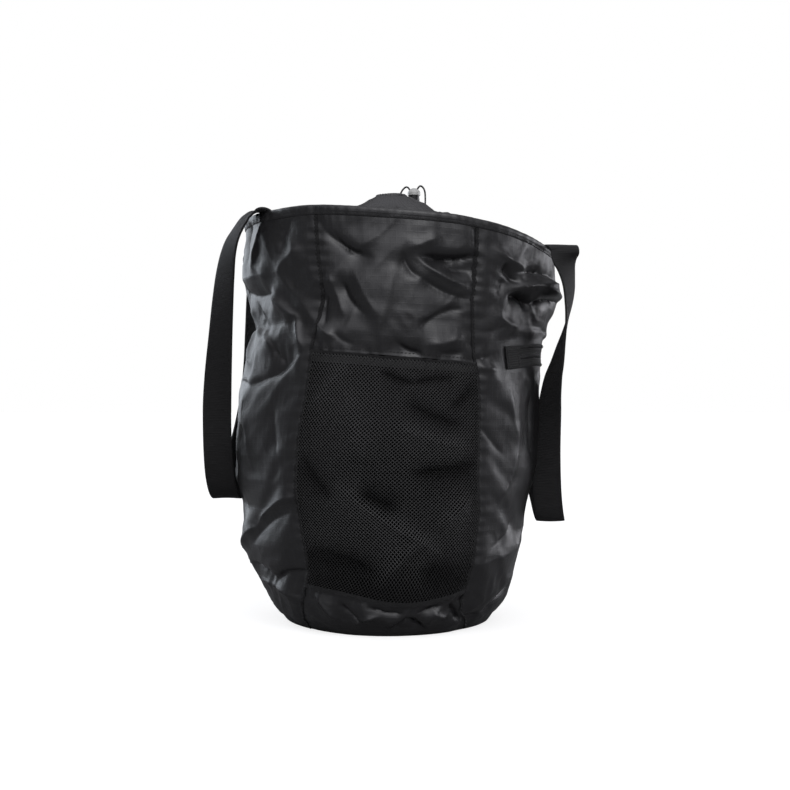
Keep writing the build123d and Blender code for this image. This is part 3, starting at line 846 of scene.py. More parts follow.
skin_out = grid_normals(skin_grid)
calmer = 1 - 0.45 * ease(np.abs(angles), 100, 80)
calmer *= 1 - 0.30 * ease(heights, 0.225, 0.200)
calmer *= 1 - 0.40 * upper * front
calmer *= 1 - 0.30 * ease(-nominal, 40, 55) * ease(-nominal, 120, 100)
calmer *= ease(heights, RIM_Z - 0.004, RIM_Z - 0.022) * 0.75 + 0.25
calmer *= 1 - 0.8 * behind_mesh
own_folds = (calmer * (1 - on_zip)).reshape(share_grid.shape)[..., None]
skin_grid = skin_grid + skin_out * crumple.reshape(share_grid.shape)[..., None] + slack_moves * own_folds
resting = ease(np.hypot(skin_grid[..., 0], skin_grid[..., 1]), 0.097, 0.086)
skin_grid[..., 2] = np.maximum(skin_grid[..., 2] * (1 - 0.85 * resting), 0.0002)
skin_grid[0, :, 2] = 0.0002
skin_out = grid_normals(skin_grid)
flat_skin = np.empty((len(raw), 3))
flat_skin[order.ravel()] = skin_grid.reshape(-1, 3)
move_points(skin, flat_skin)
write_uv(skin, np.radians(skin_angle) * (SKIN_RADIUS_MM / 1000), skin_share * CLOTH_HEIGHT)
print("creases", len(strokes), "deepest", round(float(crumple.min()) * 1000, 1), "mm")


def skin_frame(degrees, share):
    """Points on the finished skin at nominal angles and height shares, and the way out there."""
    degrees, share = np.broadcast_arrays(np.asarray(degrees, float), np.asarray(share, float))
    across = (wrapped(degrees) + 180) / 360 * COLUMNS
    along = np.clip(share, 0, 1) * ROWS
    i = np.floor(across).astype(int)
    j = np.minimum(np.floor(along).astype(int), ROWS - 1)
    s, t = (across - i)[..., None], (along - j)[..., None]
    i0, i1 = i % COLUMNS, (i + 1) % COLUMNS

    def blend(grid):
        low = grid[j, i0] * (1 - s) + grid[j, i1] * s
        high = grid[j + 1, i0] * (1 - s) + grid[j + 1, i1] * s
        return low * (1 - t) + high * t

    out = blend(skin_out)
    return blend(skin_grid), out / np.linalg.norm(out, axis=-1, keepdims=True)


def on_skin(degrees, share, lift=0.0, rise=0.0):
    """Points lifted off the skin by one distance, and raised straight up by another."""
    point, out = skin_frame(degrees, share)
    lift = np.broadcast_to(lift, point.shape[:-1])
    rise = np.broadcast_to(rise, point.shape[:-1])
    return point + out * lift[..., None] + np.stack([0 * rise, 0 * rise, rise], axis=-1)


# %% [markdown]
# The skin is now cut into the pieces that a maker would sew: the same cylinder is copied once
# per panel, and the faces outside that panel are deleted. Each panel gets the thickness of
# cloth, inwards, so that it has a true inner face.

# %% Cut the panels from the skin
LOW_SHARE, HIGH_SHARE, ZIP_SHARE = (float(share_at(z)) for z in (MESH_LOW, MESH_HIGH, ZIP_Z))
ZIP_GAP = 0.0030 / CLOTH_HEIGHT

corner_index = np.empty(len(skin.data.loops), np.int32)
skin.data.loops.foreach_get("vertex_index", corner_index)
corner_index = corner_index.reshape(-1, 4)
face_angle = np.degrees(np.angle(np.exp(1j * np.radians(skin_angle[corner_index])).mean(axis=1)))
face_share = skin_share[corner_index].mean(axis=1)

in_front = np.abs(face_angle) < FRONT_SEAM
in_back = np.abs(face_angle) > 180 - FRONT_SEAM
on_left = ~in_front & ~in_back & (face_angle < 0)
on_right = ~in_front & ~in_back & (face_angle > 0)
in_zip = (np.abs(face_share - ZIP_SHARE) < ZIP_GAP) & (face_angle > ZIP_FROM) & (face_angle < ZIP_TO)
behind_net = in_front & (face_share > LOW_SHARE) & (face_share < HIGH_SHARE)
PANELS = [
    ("base_band_cloth", in_front & (face_share < LOW_SHARE), "front_base_band"),
    ("lining_behind_mesh", behind_net, "front_lower_panel"),
    ("front_cloth", in_front & (face_share > HIGH_SHARE), "front_upper_panel"),
    ("left_cloth", on_left, "left_side_panel"),
    ("back_cloth", in_back, "back_panel"),
    ("right_cloth_below_zip", on_right & (face_share < ZIP_SHARE) & ~in_zip, "right_side_lower_panel"),
    ("right_cloth_above_zip", on_right & (face_share > ZIP_SHARE) & ~in_zip, "right_side_upper_panel"),
]


def cut_panel(name, keep, depth=0.0006):
    make_active(skin)
    bpy.ops.object.duplicate()
    piece = named(name)
    bpy.ops.object.mode_set(mode="EDIT")
    bpy.ops.mesh.select_mode(type="FACE")
    bpy.ops.mesh.select_all(action="DESELECT")
    bpy.ops.object.mode_set(mode="OBJECT")
    piece.data.polygons.foreach_set("select", ~keep)
    bpy.ops.object.mode_set(mode="EDIT")
    bpy.ops.mesh.delete(type="FACE")
    bpy.ops.object.mode_set(mode="OBJECT")
    thicken(piece, depth)
    smooth(piece, 70)
    return piece


for name, keep, node in PANELS:
    # The lining behind the mesh gets the darkened copy of the nylon: painted shade.
    finish = nylon_lining_painted_shade if node == "front_lower_panel" else nylon
    panel = dress(cut_panel(name, keep), finish, "shell_fabric", "bag", node)
    print(name, len(panel.data.polygons), "faces")
make_active(skin)
bpy.ops.object.delete()


# %% [markdown]
# The round base is one more panel. It lies on the ground, but loose cloth never lies quite flat,
# so a little of the noise lifts it here and there. A tape binds its edge.

# %% Base
def base_shape(u, w):
    edge = on_skin(360 * u - 180, 0.0) * 0.995
    reach = np.clip(w, 0.0005, 1) * 0.078
    turn = 2 * math.pi * u
    bumps = 0.0006 * (np.sin(3 * turn + 40 * reach) * np.sin(70 * reach) + 1) * ease(1 - w, 0.0, 0.15)
    return np.stack([edge[:, 0] * w, edge[:, 1] * w, 0.0004 + bumps], axis=-1)


base = loft("base_cloth", 96, 24, base_shape, 0.49, 0.078)
outward(base)
thicken(base, 0.0003, 1.0)
smooth(base)
dress(base, nylon, "shell_fabric", "bag", "base_panel")


def closed_band(name, columns, section, width=0.85, length=0.02):
    """A band all round the bag. The section is a closed loop of points, at any angles."""
    section_points = np.array([*section, section[0]], float)
    count = len(section_points) - 1

    def shape(u, w):
        step = w * count
        values = [np.interp(step, np.arange(count + 1), section_points[:, k]) for k in range(3)]
        degrees = u * 360 - 180
        wave = 0.00008 * np.sin(np.radians(degrees) * 94 + 1.7 * np.sin(np.radians(degrees) * 11))
        return on_skin(degrees, values[0], values[1] + wave * np.sign(values[1]), values[2])

    piece = loft(name, columns, count, shape, width, length)
    outward(piece)
    smooth(piece, 60)
    return piece


def mm_share(z_mm):
    return float(share_at(z_mm / 1000))


base_edge = closed_band("base_seam_tape", 360, [
    (mm_share(1.2), -0.0008, 0.0012), (mm_share(2.0), -0.0008, 0.0012), (mm_share(5), -0.0010, 0.0012),
    (mm_share(7), -0.0014, 0.0012), (mm_share(5), -0.0024, 0.0016), (mm_share(2), -0.0024, 0.0022),
])
dress(base_edge, binding, "binding_tape", "bag", "base_seam_binding")
print("base", len(base.data.polygons), "faces")

# %% [markdown]
# The rim is a folded hem. Its section is a flat loop that goes up the outside of the cloth, over
# the top and down the inside. It is drawn in a little where it is stitched.

# %% Rim hem
HEM = 5.8
RIM_MM = RIM_Z * 1000
hem = closed_band("rim_hem_fold", 540, [
    (mm_share(RIM_MM - HEM - 0.6), 0.0001, 0), (mm_share(RIM_MM - HEM), 0.0008, 0),
    (mm_share(RIM_MM - HEM + 1.2), 0.0007, 0), (mm_share(RIM_MM - 3.4), 0.0012, 0),
    (mm_share(RIM_MM - 1.6), 0.0014, 0), (1.0, 0.0013, 0.0004), (1.0, 0.0004, 0.0014),
    (1.0, -0.0009, 0.0015), (1.0, -0.0019, 0.0006), (mm_share(RIM_MM - 2), -0.0022, 0),
    (mm_share(RIM_MM - 4), -0.0017, 0), (mm_share(RIM_MM - HEM), -0.0016, 0),
    (mm_share(RIM_MM - HEM - 0.6), -0.0008, 0),
])
dress(hem, nylon, "shell_fabric", "bag", "rim_hem")
print("rim hem", len(hem.data.polygons), "faces")

# %% [markdown]
# Stitches are modelled once, as a short fat thread with rounded ends, and then laid along a line
# on the cloth at a steady pitch. Every row of them is one piece with its own mesh.

# %% Stitching
def one_stitch(length, thread):
    clear_selection()
    bpy.ops.mesh.primitive_uv_sphere_add(segments=8, ring_count=5, radius=0.5)
    model = bpy.context.object
    bpy.ops.transform.resize(value=(length, thread, thread * 0.8))
    bpy.ops.object.transform_apply(location=False, rotation=False, scale=True)
    points = positions(model)
    faces = [list(face.vertices) for face in model.data.polygons]
    bpy.ops.object.delete()
    return points, faces


def lay_copies(name, model, centres, along, out):
    """Copies of one small model at many places, each turned to lie along the surface."""
    points, faces = model
    along = along / np.linalg.norm(along, axis=1, keepdims=True)
    side = np.cross(out, along)
    side = side / np.linalg.norm(side, axis=1, keepdims=True)
    up = np.cross(along, side)
    axes = np.stack([along, side, up], axis=1)
    placed = centres[:, None, :] + np.einsum("pk,nkc->npc", points, axes)
    starts = np.arange(len(centres)) * len(points)
    mesh = bpy.data.meshes.new(name)
    copied = [[i + start for i in face] for start in starts for face in faces]
    mesh.from_pydata(placed.reshape(-1, 3).tolist(), [], copied)
    piece = bpy.data.objects.new(name, mesh)
    bpy.context.scene.collection.objects.link(piece)
    smooth(piece)
    return piece


def spaced(points, pitch):
    """Places along a line of points, evenly apart, as fractions of its steps."""
    reach = np.concatenate([[0], np.cumsum(np.linalg.norm(np.diff(points, axis=0), axis=1))])
    count = max(int(reach[-1] / pitch), 2)
    return np.interp((np.arange(count) + 0.5) / count * reach[-1], reach, np.arange(len(points)))


STITCH = one_stitch(0.0023, 0.00055)


def sew(name, degrees, shares, lift, pitch=0.0032):
    """A row of stitches along a line on the skin."""
    places = spaced(on_skin(degrees, shares, lift), pitch)
    steps = np.arange(len(degrees))
    a, s = np.interp(places, steps, degrees), np.interp(places, steps, shares)
    a2, s2 = np.interp(places + 0.02, steps, degrees), np.interp(places + 0.02, steps, shares)
    centres, out = skin_frame(a, s)
    ahead, _ = skin_frame(a2, s2)
    behind, _ = skin_frame(2 * a - a2, 2 * s - s2)
    piece = lay_copies(name, STITCH, centres + out * lift, ahead - behind, out)
    return dress(piece, stitch_thread, "binding_tape", "bag")


round_the_bag = np.linspace(-180, 180, 721)
sew("hem_stitches", round_the_bag, np.full(721, mm_share(RIM_MM - HEM + 1.1)), 0.0008)
print("hem stitched")

# %% [markdown]
# Each upright seam is bound with tape: a narrow ribbon with a rounded edge that lies a little
# proud of the cloth and ripples along it, with its row of stitches.

# %% Upright seams
SEAM_WIDTH = 3.2
SEAM_SIDES = {
    "front_left": (-FRONT_SEAM, -1), "front_right": (FRONT_SEAM, 1),
    "back_left": (-180 + FRONT_SEAM, 1), "back_right": (180 - FRONT_SEAM, -1),
}
fold_across = np.array([0.0, 0.25, 0.6, 0.9, 1.0, 1.02, 0.98, 0.5, 0.0])
fold_lift = np.array([0.0002, 0.0005, 0.0006, 0.0007, 0.0006, 0.0004, 0.0001, 0.0, 0.0])


def make_seam(name, seam, side):
    def shape(u, w):
        step = u * (len(fold_across) - 1)
        across = np.interp(step, np.arange(len(fold_across)), fold_across)
        lift = np.interp(step, np.arange(len(fold_across)), fold_lift)
        z = w * (RIM_MM - HEM - 3) + 2.0
        ripple = 0.35 * np.sin(z * 0.67 + 2 * np.sin(z * 0.061)) + 0.2 * np.sin(z * 1.9)
        degrees = seam + side * ((1 - across) * SEAM_WIDTH - 0.6 + ripple) / MM_PER_DEGREE
        lift = lift * (1 + 0.2 * np.sin(z * 0.67 + 1.3 * np.sin(z * 0.05)))
        return on_skin(degrees, share_at(z / 1000), lift + 0.0001)

    piece = loft(name + "_seam_fold", 16, 300, shape, 0.006, 0.35)
    outward(piece)
    smooth(piece, 50)
    dress(piece, binding, "binding_tape", "bag", name + "_seam_binding")
    z = np.linspace(6, RIM_MM - HEM - 2, 400)
    line = np.full(400, seam + side * 1.6 / MM_PER_DEGREE)
    sew(name + "_seam_stitches", line, share_at(z / 1000), 0.0012)


for name, (seam, side) in SEAM_SIDES.items():
    make_seam(name, seam, side)
print("upright seams", len(SEAM_SIDES))

# %% [markdown]
# The front pocket is knitted mesh: two sets of threads that cross and leave small diamond holes.
# Each thread is a thin four-sided tube along one diagonal of a lattice, and the two sets pass
# over and under each other. The net stands off the lining, since a pocket hangs loose, and a few
# strokes bend it: a slanting ridge, a hollow beside it, and a sag below the pocket's mouth. The
# threads carry painted shade: they are darker in the hollows, low down and towards the sides.

# %% Mesh pocket
HOLE_WIDE = 0.0031
HOLE_TALL = 0.0030
THREAD = 0.00066
MESH_FOLDS = [
    (-17, 128, 19, 74, 7, 6.0, 3, 0.4), (-10, 124, 4, 108, 8, -5.0, 2, 0.0),
    (8, 138, 34, 145, 6, -6.0, 2, 0.3), (-34, 70, -4, 60, 6, -5.5, -3, 0.3),
    (14, 84, -4, 48, 5, 4.5, 3, 0.3), (12, 62, 33, 50, 7, -5.0, -2, 0.3),
    (-28, 190, -14, 226, 7, 3.0, 2, 0.3), (-2, 219, 9, 211, 3, -4.5, 1, 0.3),
    (8, 211, 24, 218, 3, -4.0, -1, 0.3),
    (-14, 205, -8, 150, 12, 4.0, 3, 0.0), (22, 190, 32, 216, 5, -4.0, 2, 0.3),
    (-31, 150, -20, 118, 7, -4.0, 2, 0.3), (18, 96, 31, 118, 8, 4.0, 2, 0.3),
    (6, 196, 28, 176, 7, -4.0, 3, 0.3), (2, 176, 30, 158, 8, 4.0, 2, 0.2),
]


def net_place(u, w, with_painted_light=False):
    """Where the net is: u across the pocket, w from its bottom seam to its mouth. With with_painted_light,
    it also gives how lit its threads are painted, from 0 to 1: painted shade in the hollows, low down and at
    the sides.
    """
    u = u + 0.007 * np.sin(w * 9 + 3 * u) * np.sin(np.pi * np.clip(u, 0, 1))
    degrees = -FRONT_SEAM + 2 * FRONT_SEAM * u
    mouth = np.exp(-(((degrees - 2) / 14) ** 2)) * ease(w, 0.86, 1.0)
    share = LOW_SHARE + (HIGH_SHARE - LOW_SHARE) * w - mouth * 0.0012 / CLOTH_HEIGHT
    z = profile(share)[1]
    fullness = (np.sin(math.pi * np.clip(u, 0, 1)) * np.sin(math.pi * np.clip(w, 0.004, 0.95))) ** 0.6
    lift = 0.0010 + 0.0055 * fullness + 0.0012 * mouth
    angle = real_angle(degrees, z)
    folds = sum(stroke_height(angle, z, fold) for fold in MESH_FOLDS) * ease(1 - w, 0.0, 0.06)
    place = on_skin(degrees, share, np.maximum(lift + folds, 0.0008))
    if not with_painted_light:
        return place
    # Painted shade: the share of painted light falls in the hollows of the folds, on the lower part of the
    # pocket and near its sides.
    under = ease(w, 0.02 + 0.10 * (u < 0.5) * (1 - 2 * u), 0.20 + 0.06 * np.sin(7 * u))
    edges = ease(np.minimum(u, 1 - u), -0.02, 0.12)
    painted_light = ease(folds, -0.0042, 0.0030) * (0.30 + 0.70 * under) * (0.55 + 0.45 * edges)
    return place, painted_light


def crossing_net(name, wide, tall, place):
    """Two sets of crossing threads over a width and a height, in metres."""
    columns, rows = 2 * int(wide / HOLE_WIDE), 2 * int(tall / HOLE_TALL)
    x, y = np.meshgrid(np.arange(columns + 1), np.arange(rows + 1))
    knots, painted_light = place(x.ravel() / columns, y.ravel() / rows)
    knots, painted_light = knots.reshape(rows + 1, columns + 1, 3), painted_light.reshape(rows + 1, columns + 1)
    across, up = np.gradient(knots, axis=1), np.gradient(knots, axis=0)
    out = np.cross(across, up)
    out = out / np.linalg.norm(out, axis=-1, keepdims=True)
    points, faces, shades = [], [], []
    for way in (1, -1):
        for first in range(-rows - rows % 2, columns + rows + 2, 2):
            j = np.arange(rows + 1)
            i = first + way * j
            j, i = j[(i >= 0) & (i <= columns)], i[(i >= 0) & (i <= columns)]
            if len(j) < 2:
                continue
            line = knots[j, i] + out[j, i] * (0.00022 * way * (-1.0) ** j)[:, None]
            ahead = np.gradient(line, axis=0)
            side = np.cross(ahead, out[j, i])
            side = side / np.linalg.norm(side, axis=1, keepdims=True) * THREAD / 2
            lift = out[j, i] * THREAD / 2
            start = 4 * sum(len(p) for p in points)
            points.append(np.stack([line + side, line + lift, line - side, line - lift], axis=1))
            shades.append(np.repeat(painted_light[j, i], 4))
            for n in range(len(j) - 1):
                a = start + 4 * n
                faces += [(a + k, a + (k + 1) % 4, a + 4 + (k + 1) % 4, a + 4 + k) for k in range(4)]
    mesh = bpy.data.meshes.new(name)
    mesh.from_pydata(np.concatenate(points).reshape(-1, 3).tolist(), [], faces)
    piece = bpy.data.objects.new(name, mesh)
    bpy.context.scene.collection.objects.link(piece)
    # The painted light of each knot is stored on the threads, and their material darkens them by it: painted
    # shade.
    painted_light_share = mesh.attributes.new("painted_light_share", "FLOAT", "POINT")
    painted_light_share.data.foreach_set("value", np.concatenate(shades).astype(np.float32))
    outward(piece)
    smooth(piece, 100)
    print(name, len(faces), "faces")
    return piece


def mouth_fold(u, w):
    """The top of the net again, where it is turned down behind itself."""
    place, painted_light = net_place(u * 0.996, 0.957 + 0.043 * w, True)
    # The turned-down fold gets 0.4 of the painted light: painted shade behind the mouth.
    return place, painted_light * 0.4


net = crossing_net("mesh_pocket_net", 0.158, 0.192, lambda u, w: net_place(u, w, True))
dress(net, mesh_thread, "mesh_fabric", "bag", "mesh_pocket_panel")
turned = crossing_net("mesh_mouth_fold", 0.158, 0.008, mouth_fold)
dress(turned, mesh_thread, "mesh_fabric", "bag")

# %% [markdown]
# A narrow fold of tape finishes the pocket's mouth, and a welt covers the bottom seam.

# %% Pocket mouth and bottom seam
def net_band(name, w_low, w_high, lift_low, lift_high, depth):
    def shape(u, w):
        point = net_place(u, w_low + (w_high - w_low) * w)
        share = LOW_SHARE + (HIGH_SHARE - LOW_SHARE) * w_high
        _, out = skin_frame(-FRONT_SEAM + 2 * FRONT_SEAM * u, share)
        lift = lift_low + (lift_high - lift_low) * w + 0.0003 * np.sin(np.pi * w)
        return point + out * lift[:, None]

    piece = loft(name, 200, 6, shape, 0.158, 0.006)
    thicken(piece, depth)
    smooth(piece, 60)
    return piece


mouth_tape = net_band("pocket_mouth_tape", 0.993, 1.004, 0.0002, 0.0005, 0.0007)
dress(mouth_tape, binding, "binding_tape", "bag", "mesh_pocket_hem")
bottom_welt = net_band("pocket_bottom_welt", -0.006, 0.012, 0.0010, 0.0005, 0.0009)
dress(bottom_welt, binding, "binding_tape", "bag")
print("pocket mouth", len(mouth_tape.data.polygons), "faces")
front_line = np.linspace(-FRONT_SEAM + 0.5, FRONT_SEAM - 0.5, 200)
sew("pocket_bottom_stitches", front_line, np.full(200, LOW_SHARE - 0.004), 0.0006)
sew("front_cloth_stitches", front_line, np.full(200, HIGH_SHARE + 0.010), 0.0006)

# %% [markdown]
# The zip on the right side has two woven tapes, a coil of small teeth between them, and a square
# of tape over its front end. The tapes lie on the skin, with a folded edge of cloth above and
# below, and each tooth is a copy of one small rounded peg.

# %% Zip tapes and tabs
def skin_strip(name, from_to, heights, lifts, columns, rows, depth):
    """A strip of tape on the skin between two angles and two heights, in degrees and mm."""
    def shape(u, w):
        z = np.interp(w, np.linspace(0, 1, len(heights)), heights)
        lift = np.interp(w, np.linspace(0, 1, len(lifts)), lifts)
        degrees = from_to[0] + (from_to[1] - from_to[0]) * u
        return on_skin(degrees, share_at(z / 1000), lift)

    wide = abs(from_to[1] - from_to[0]) * MM_PER_DEGREE / 1000
    piece = loft(name, columns, rows, shape, wide, abs(heights[-1] - heights[0]) / 1000)
    thicken(piece, depth)
    smooth(piece, 40)
    return piece


ZIP_MM = ZIP_Z * 1000
upper_tape = skin_strip(
    "zip_tape_above", (ZIP_FROM, ZIP_TO),
    [ZIP_MM + 1.4, ZIP_MM + 3, ZIP_MM + 6.4, ZIP_MM + 7, ZIP_MM + 9, ZIP_MM + 9.6],
    [-0.0008, 0.0004, 0.0005, 0.0011, 0.0013, 0.0004], 160, 12, 0.0006,
)
dress(upper_tape, binding, "binding_tape", "bag", "zip_upper_tape")
lower_tape = skin_strip(
    "zip_tape_below", (ZIP_FROM, ZIP_TO),
    [ZIP_MM - 9.6, ZIP_MM - 9, ZIP_MM - 7, ZIP_MM - 6.4, ZIP_MM - 3, ZIP_MM - 1.4],
    [0.0004, 0.0013, 0.0011, 0.0005, 0.0004, -0.0008], 160, 12, 0.0006,
)
dress(lower_tape, binding, "binding_tape", "bag", "zip_lower_tape")
for name, ends, node in (
    ("zip_front_square", (48.5, 56.5), "zip_front_tab"),
    ("zip_rear_square", (123.0, 129.0), "zip_rear_tab"),
):
    tab_heights = [ZIP_MM - 8.8, ZIP_MM - 8, ZIP_MM + 8, ZIP_MM + 8.8]
    tab_lifts = [0.0002, 0.0015, 0.0015, 0.0002]
    tab = skin_strip(name, ends, tab_heights, tab_lifts, 24, 24, 0.0005)
    dress(tab, binding, "binding_tape", "bag", node)
    a0, a1 = ends
    corners = [(a0 + 1, -6.8), (a1 - 1, -6.8), (a1 - 1, 6.8), (a0 + 1, 6.8), (a0 + 1, -6.8)]
    legs = [np.linspace(corners[k], corners[k + 1], 20) for k in range(4)]
    line = np.concatenate(legs)
    sew(name + "_stitches", line[:, 0], share_at((line[:, 1] + ZIP_MM) / 1000), 0.0016, 0.0028)
zip_line = np.linspace(ZIP_FROM + 0.5, ZIP_TO - 0.5, 200)
for name, offset in (("above", 7.9), ("below", -7.9)):
    sew("zip_stitches_" + name, zip_line, np.full(200, mm_share(ZIP_MM + offset)), 0.0014)

# %% [markdown]
# Each tooth is a small peg with bevelled edges, laid across the closing line. The lower row is
# half a pitch out of step with the upper one.

# %% Zip coil
clear_selection()
bpy.ops.mesh.primitive_cylinder_add(vertices=8, radius=0.00042, depth=0.0032)
peg = bpy.context.object
bpy.ops.object.mode_set(mode="EDIT")
bpy.ops.mesh.select_all(action="SELECT")
bpy.ops.mesh.bevel(offset=0.00016, segments=1)
bpy.ops.transform.rotate(value=math.radians(90), orient_axis="Y", center_override=(0, 0, 0))
bpy.ops.object.mode_set(mode="OBJECT")
PEG = (positions(peg), [list(face.vertices) for face in peg.data.polygons])
bpy.ops.object.delete()
TOOTH_PITCH = 0.00150
COIL_FROM, COIL_SPAN = 56.7, 69.3
tooth_count = int(COIL_SPAN * MM_PER_DEGREE / 1000 / TOOTH_PITCH)
for name, offset, shift, node in (
    ("coil_above", 0.8, 0.0, "zip_upper_coil"), ("coil_below", -0.8, 0.5, "zip_lower_coil"),
):
    places = COIL_FROM + (np.arange(tooth_count) + shift) / tooth_count * COIL_SPAN
    centres, out = skin_frame(places, np.full(tooth_count, mm_share(ZIP_MM + offset)))
    above_it, _ = skin_frame(places, np.full(tooth_count, mm_share(ZIP_MM + offset + 2)))
    below_it, _ = skin_frame(places + 0.12, np.full(tooth_count, mm_share(ZIP_MM + offset - 2)))
    coil = lay_copies(name, PEG, centres - out * 0.0001, above_it - below_it, out)
    dress(coil, coil_nylon, "zip_coil", "bag", node)
print("zip teeth", 2 * tooth_count)


# %% [markdown]
# Behind the zip hangs a flat pocket bag of the same nylon, inside the side panel. It is one
# sheet that goes down, turns at the bottom and comes up again, and it clears the wall.

# %% Side pocket bag
pocket_low, pocket_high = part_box("side_pocket_bag")
POCKET_TOP, POCKET_FOOT = ZIP_MM + 10, max(pocket_low.z * 1000 + 4, 60)


def pocket_shape(u, w):
    down = np.where(w < 0.5, w * 2, 2 - w * 2)
    z = POCKET_TOP + (POCKET_FOOT - POCKET_TOP) * down
    degrees = 56 + 70 * u
    layer = np.where(w < 0.5, 1, -1) * ease(1 - down, 0.0, 0.08)
    sway = 0.0012 * np.sin(degrees * 0.31 + z * 0.04)
    return on_skin(degrees, share_at(z / 1000), -0.0050 + 0.0018 * layer + sway)


pocket = loft("side_pocket_cloth", 60, 96, pocket_shape, 0.164, 0.34)
thicken(pocket, 0.0005, 0.0)
smooth(pocket, 60)
# The pocket bag gets the darkened lining copy of the nylon: painted shade inside the bag.
dress(pocket, nylon_lining_painted_shade, "shell_fabric", "bag", "side_pocket_bag")
print("pocket bag", len(pocket.data.polygons), "faces")

# %% [markdown]
# The collar is a skirt of nylon sewn inside the rim and gathered by a drawcord at its top. It
# rises as a low cone, so its pleats deepen towards the cord. At the right the cord comes out
# through the channel and pinches the cloth into a steep step, where the cord lock sits. How the
# real one was cut isn't known, so its flat area is an assumption, not a measured value.

# %% Gathered collar
COLLAR_CENTRE = Vector((0.003, 0.002, 0))
NECK_RADIUS = 12.0
CONE_R = [12.0, 14.5, 18.0, 28.0, 36.0, 60.0, 95.0, 133.0]
CONE_Z = [380.0, 379.0, 376.5, 370.5, 366.5, 360.0, 354.0, 348.0]
STEP_R = [12.0, 13.5, 15.0, 26.0, 36.0, 60.0, 95.0, 133.0]
STEP_Z = [379.5, 372.0, 366.0, 362.8, 361.5, 358.0, 353.5, 348.0]
PLEATS = 26


def collar_crumple(x, y):
    """Slack in the loose part of the collar, in mm: a broad wave and ridged folds."""
    points = np.stack([x, y, 0 * x + 40], axis=1) / 1000
    return 2.0 * np.sin(x * 0.031 + 1.1) * np.sin(y * 0.027) + 9.0 * ridged(points, 0.045, 1.3, 2.2)


def collar_shape(u, w):
    """u goes round, w from the rim to the neck."""
    turn = 2 * math.pi * u - math.pi
    degrees = np.degrees(turn)
    foot = on_skin(degrees, 1.0, -0.0026, -0.0040)
    foot_r = np.hypot(foot[:, 0] - COLLAR_CENTRE.x, foot[:, 1] - COLLAR_CENTRE.y) * 1000
    r = foot_r + (NECK_RADIUS - foot_r) * w ** 0.8
    level = 133 + (r - foot_r) / (foot_r - NECK_RADIUS) * (133 - NECK_RADIUS)
    step = ease(degrees, 58, 66) * ease(degrees, 120, 108)
    z = np.interp(level, CONE_R, CONE_Z) * (1 - step) + np.interp(level, STEP_R, STEP_Z) * step
    z = z + (foot[:, 2] * 1000 - 348.0) * ease(level, 30, 133)
    ridge = 3.4 * np.exp(-(((degrees - 50) / 9) ** 2)) * ease(level, 15, 20) * ease(level, 46, 32)
    left_ridge = 1.2 * np.exp(-(((degrees + 62) / 12) ** 2)) * ease(level, 15, 22) * ease(level, 60, 38)
    gather = np.clip((level - 13) / 30, 0, 1) ** 0.5 * np.exp(-((level - 14) / 60))
    quiet = 1 - 0.93 * np.exp(-(((degrees + 5) / 52) ** 4))
    phase = PLEATS * turn + 2.6 * np.sin(2 * turn + 0.7) + 2.2 * np.sin(5 * turn) + 0.03 * level
    pleat = (1 - np.abs(np.sin(phase / 2)) ** 0.7 * 1.7) * 2.6 * gather * quiet
    small = 0.5 * np.sin(61 * turn + 3 * np.sin(3 * turn)) * gather * (0.3 + 0.7 * quiet)
    x = COLLAR_CENTRE.x * 1000 + r * np.sin(turn)
    y = COLLAR_CENTRE.y * 1000 - r * np.cos(turn)
    slack = np.sin(np.pi * np.clip((level - 30) / 100, 0, 1)) * collar_crumple(x, y)
    z = z + ridge + left_ridge + pleat + small + slack
    blend_foot = ease(level, 128, 133)
    point = np.stack([x, y, z], axis=-1) / 1000
    return point * (1 - blend_foot[:, None]) + foot * blend_foot[:, None]


collar = loft("gathered_collar", 720, 72, collar_shape, 0.865, 0.12)
outward(collar)
if collar.data.polygons[0].normal.z < 0:
    make_active(collar)
    bpy.ops.object.mode_set(mode="EDIT")
    bpy.ops.mesh.select_all(action="SELECT")
    bpy.ops.mesh.flip_normals()
    bpy.ops.object.mode_set(mode="OBJECT")
thicken(collar, 0.0006)
smooth(collar, 70)
dress(collar, nylon, "shell_fabric", "bag", "collar_skirt")

# %% [markdown]
# The drawcord's channel is a creased ring of cloth at the collar's neck, and the cord inside it
# is a plain torus.

# %% Drawcord channel
CHANNEL_Z = 377.9


def channel_shape(u, w):
    turn = 2 * math.pi * u - math.pi
    spin = 2 * math.pi * w
    crease = np.abs(np.sin(PLEATS * turn / 2 + 1.1 * np.sin(2 * turn + 0.7))) ** 0.7
    quiet = 1 - 0.6 * np.exp(-(((turn + 0.1) / 0.8) ** 4))
    tube = 3.0 - 0.9 * crease * quiet
    tall = 3.7 - 0.5 * crease * quiet
    frill = 0.8 * quiet * np.sin(PLEATS * turn + 0.4) * np.clip(np.sin(spin), 0, 1)
    r = NECK_RADIUS - 0.4 + tube * np.cos(spin) + frill
    x = COLLAR_CENTRE.x * 1000 + r * np.sin(turn)
    y = COLLAR_CENTRE.y * 1000 - r * np.cos(turn)
    z = CHANNEL_Z + tall * np.sin(spin) + 0.3 * np.sin(2 * turn)
    return np.stack([x, y, z], axis=-1) / 1000


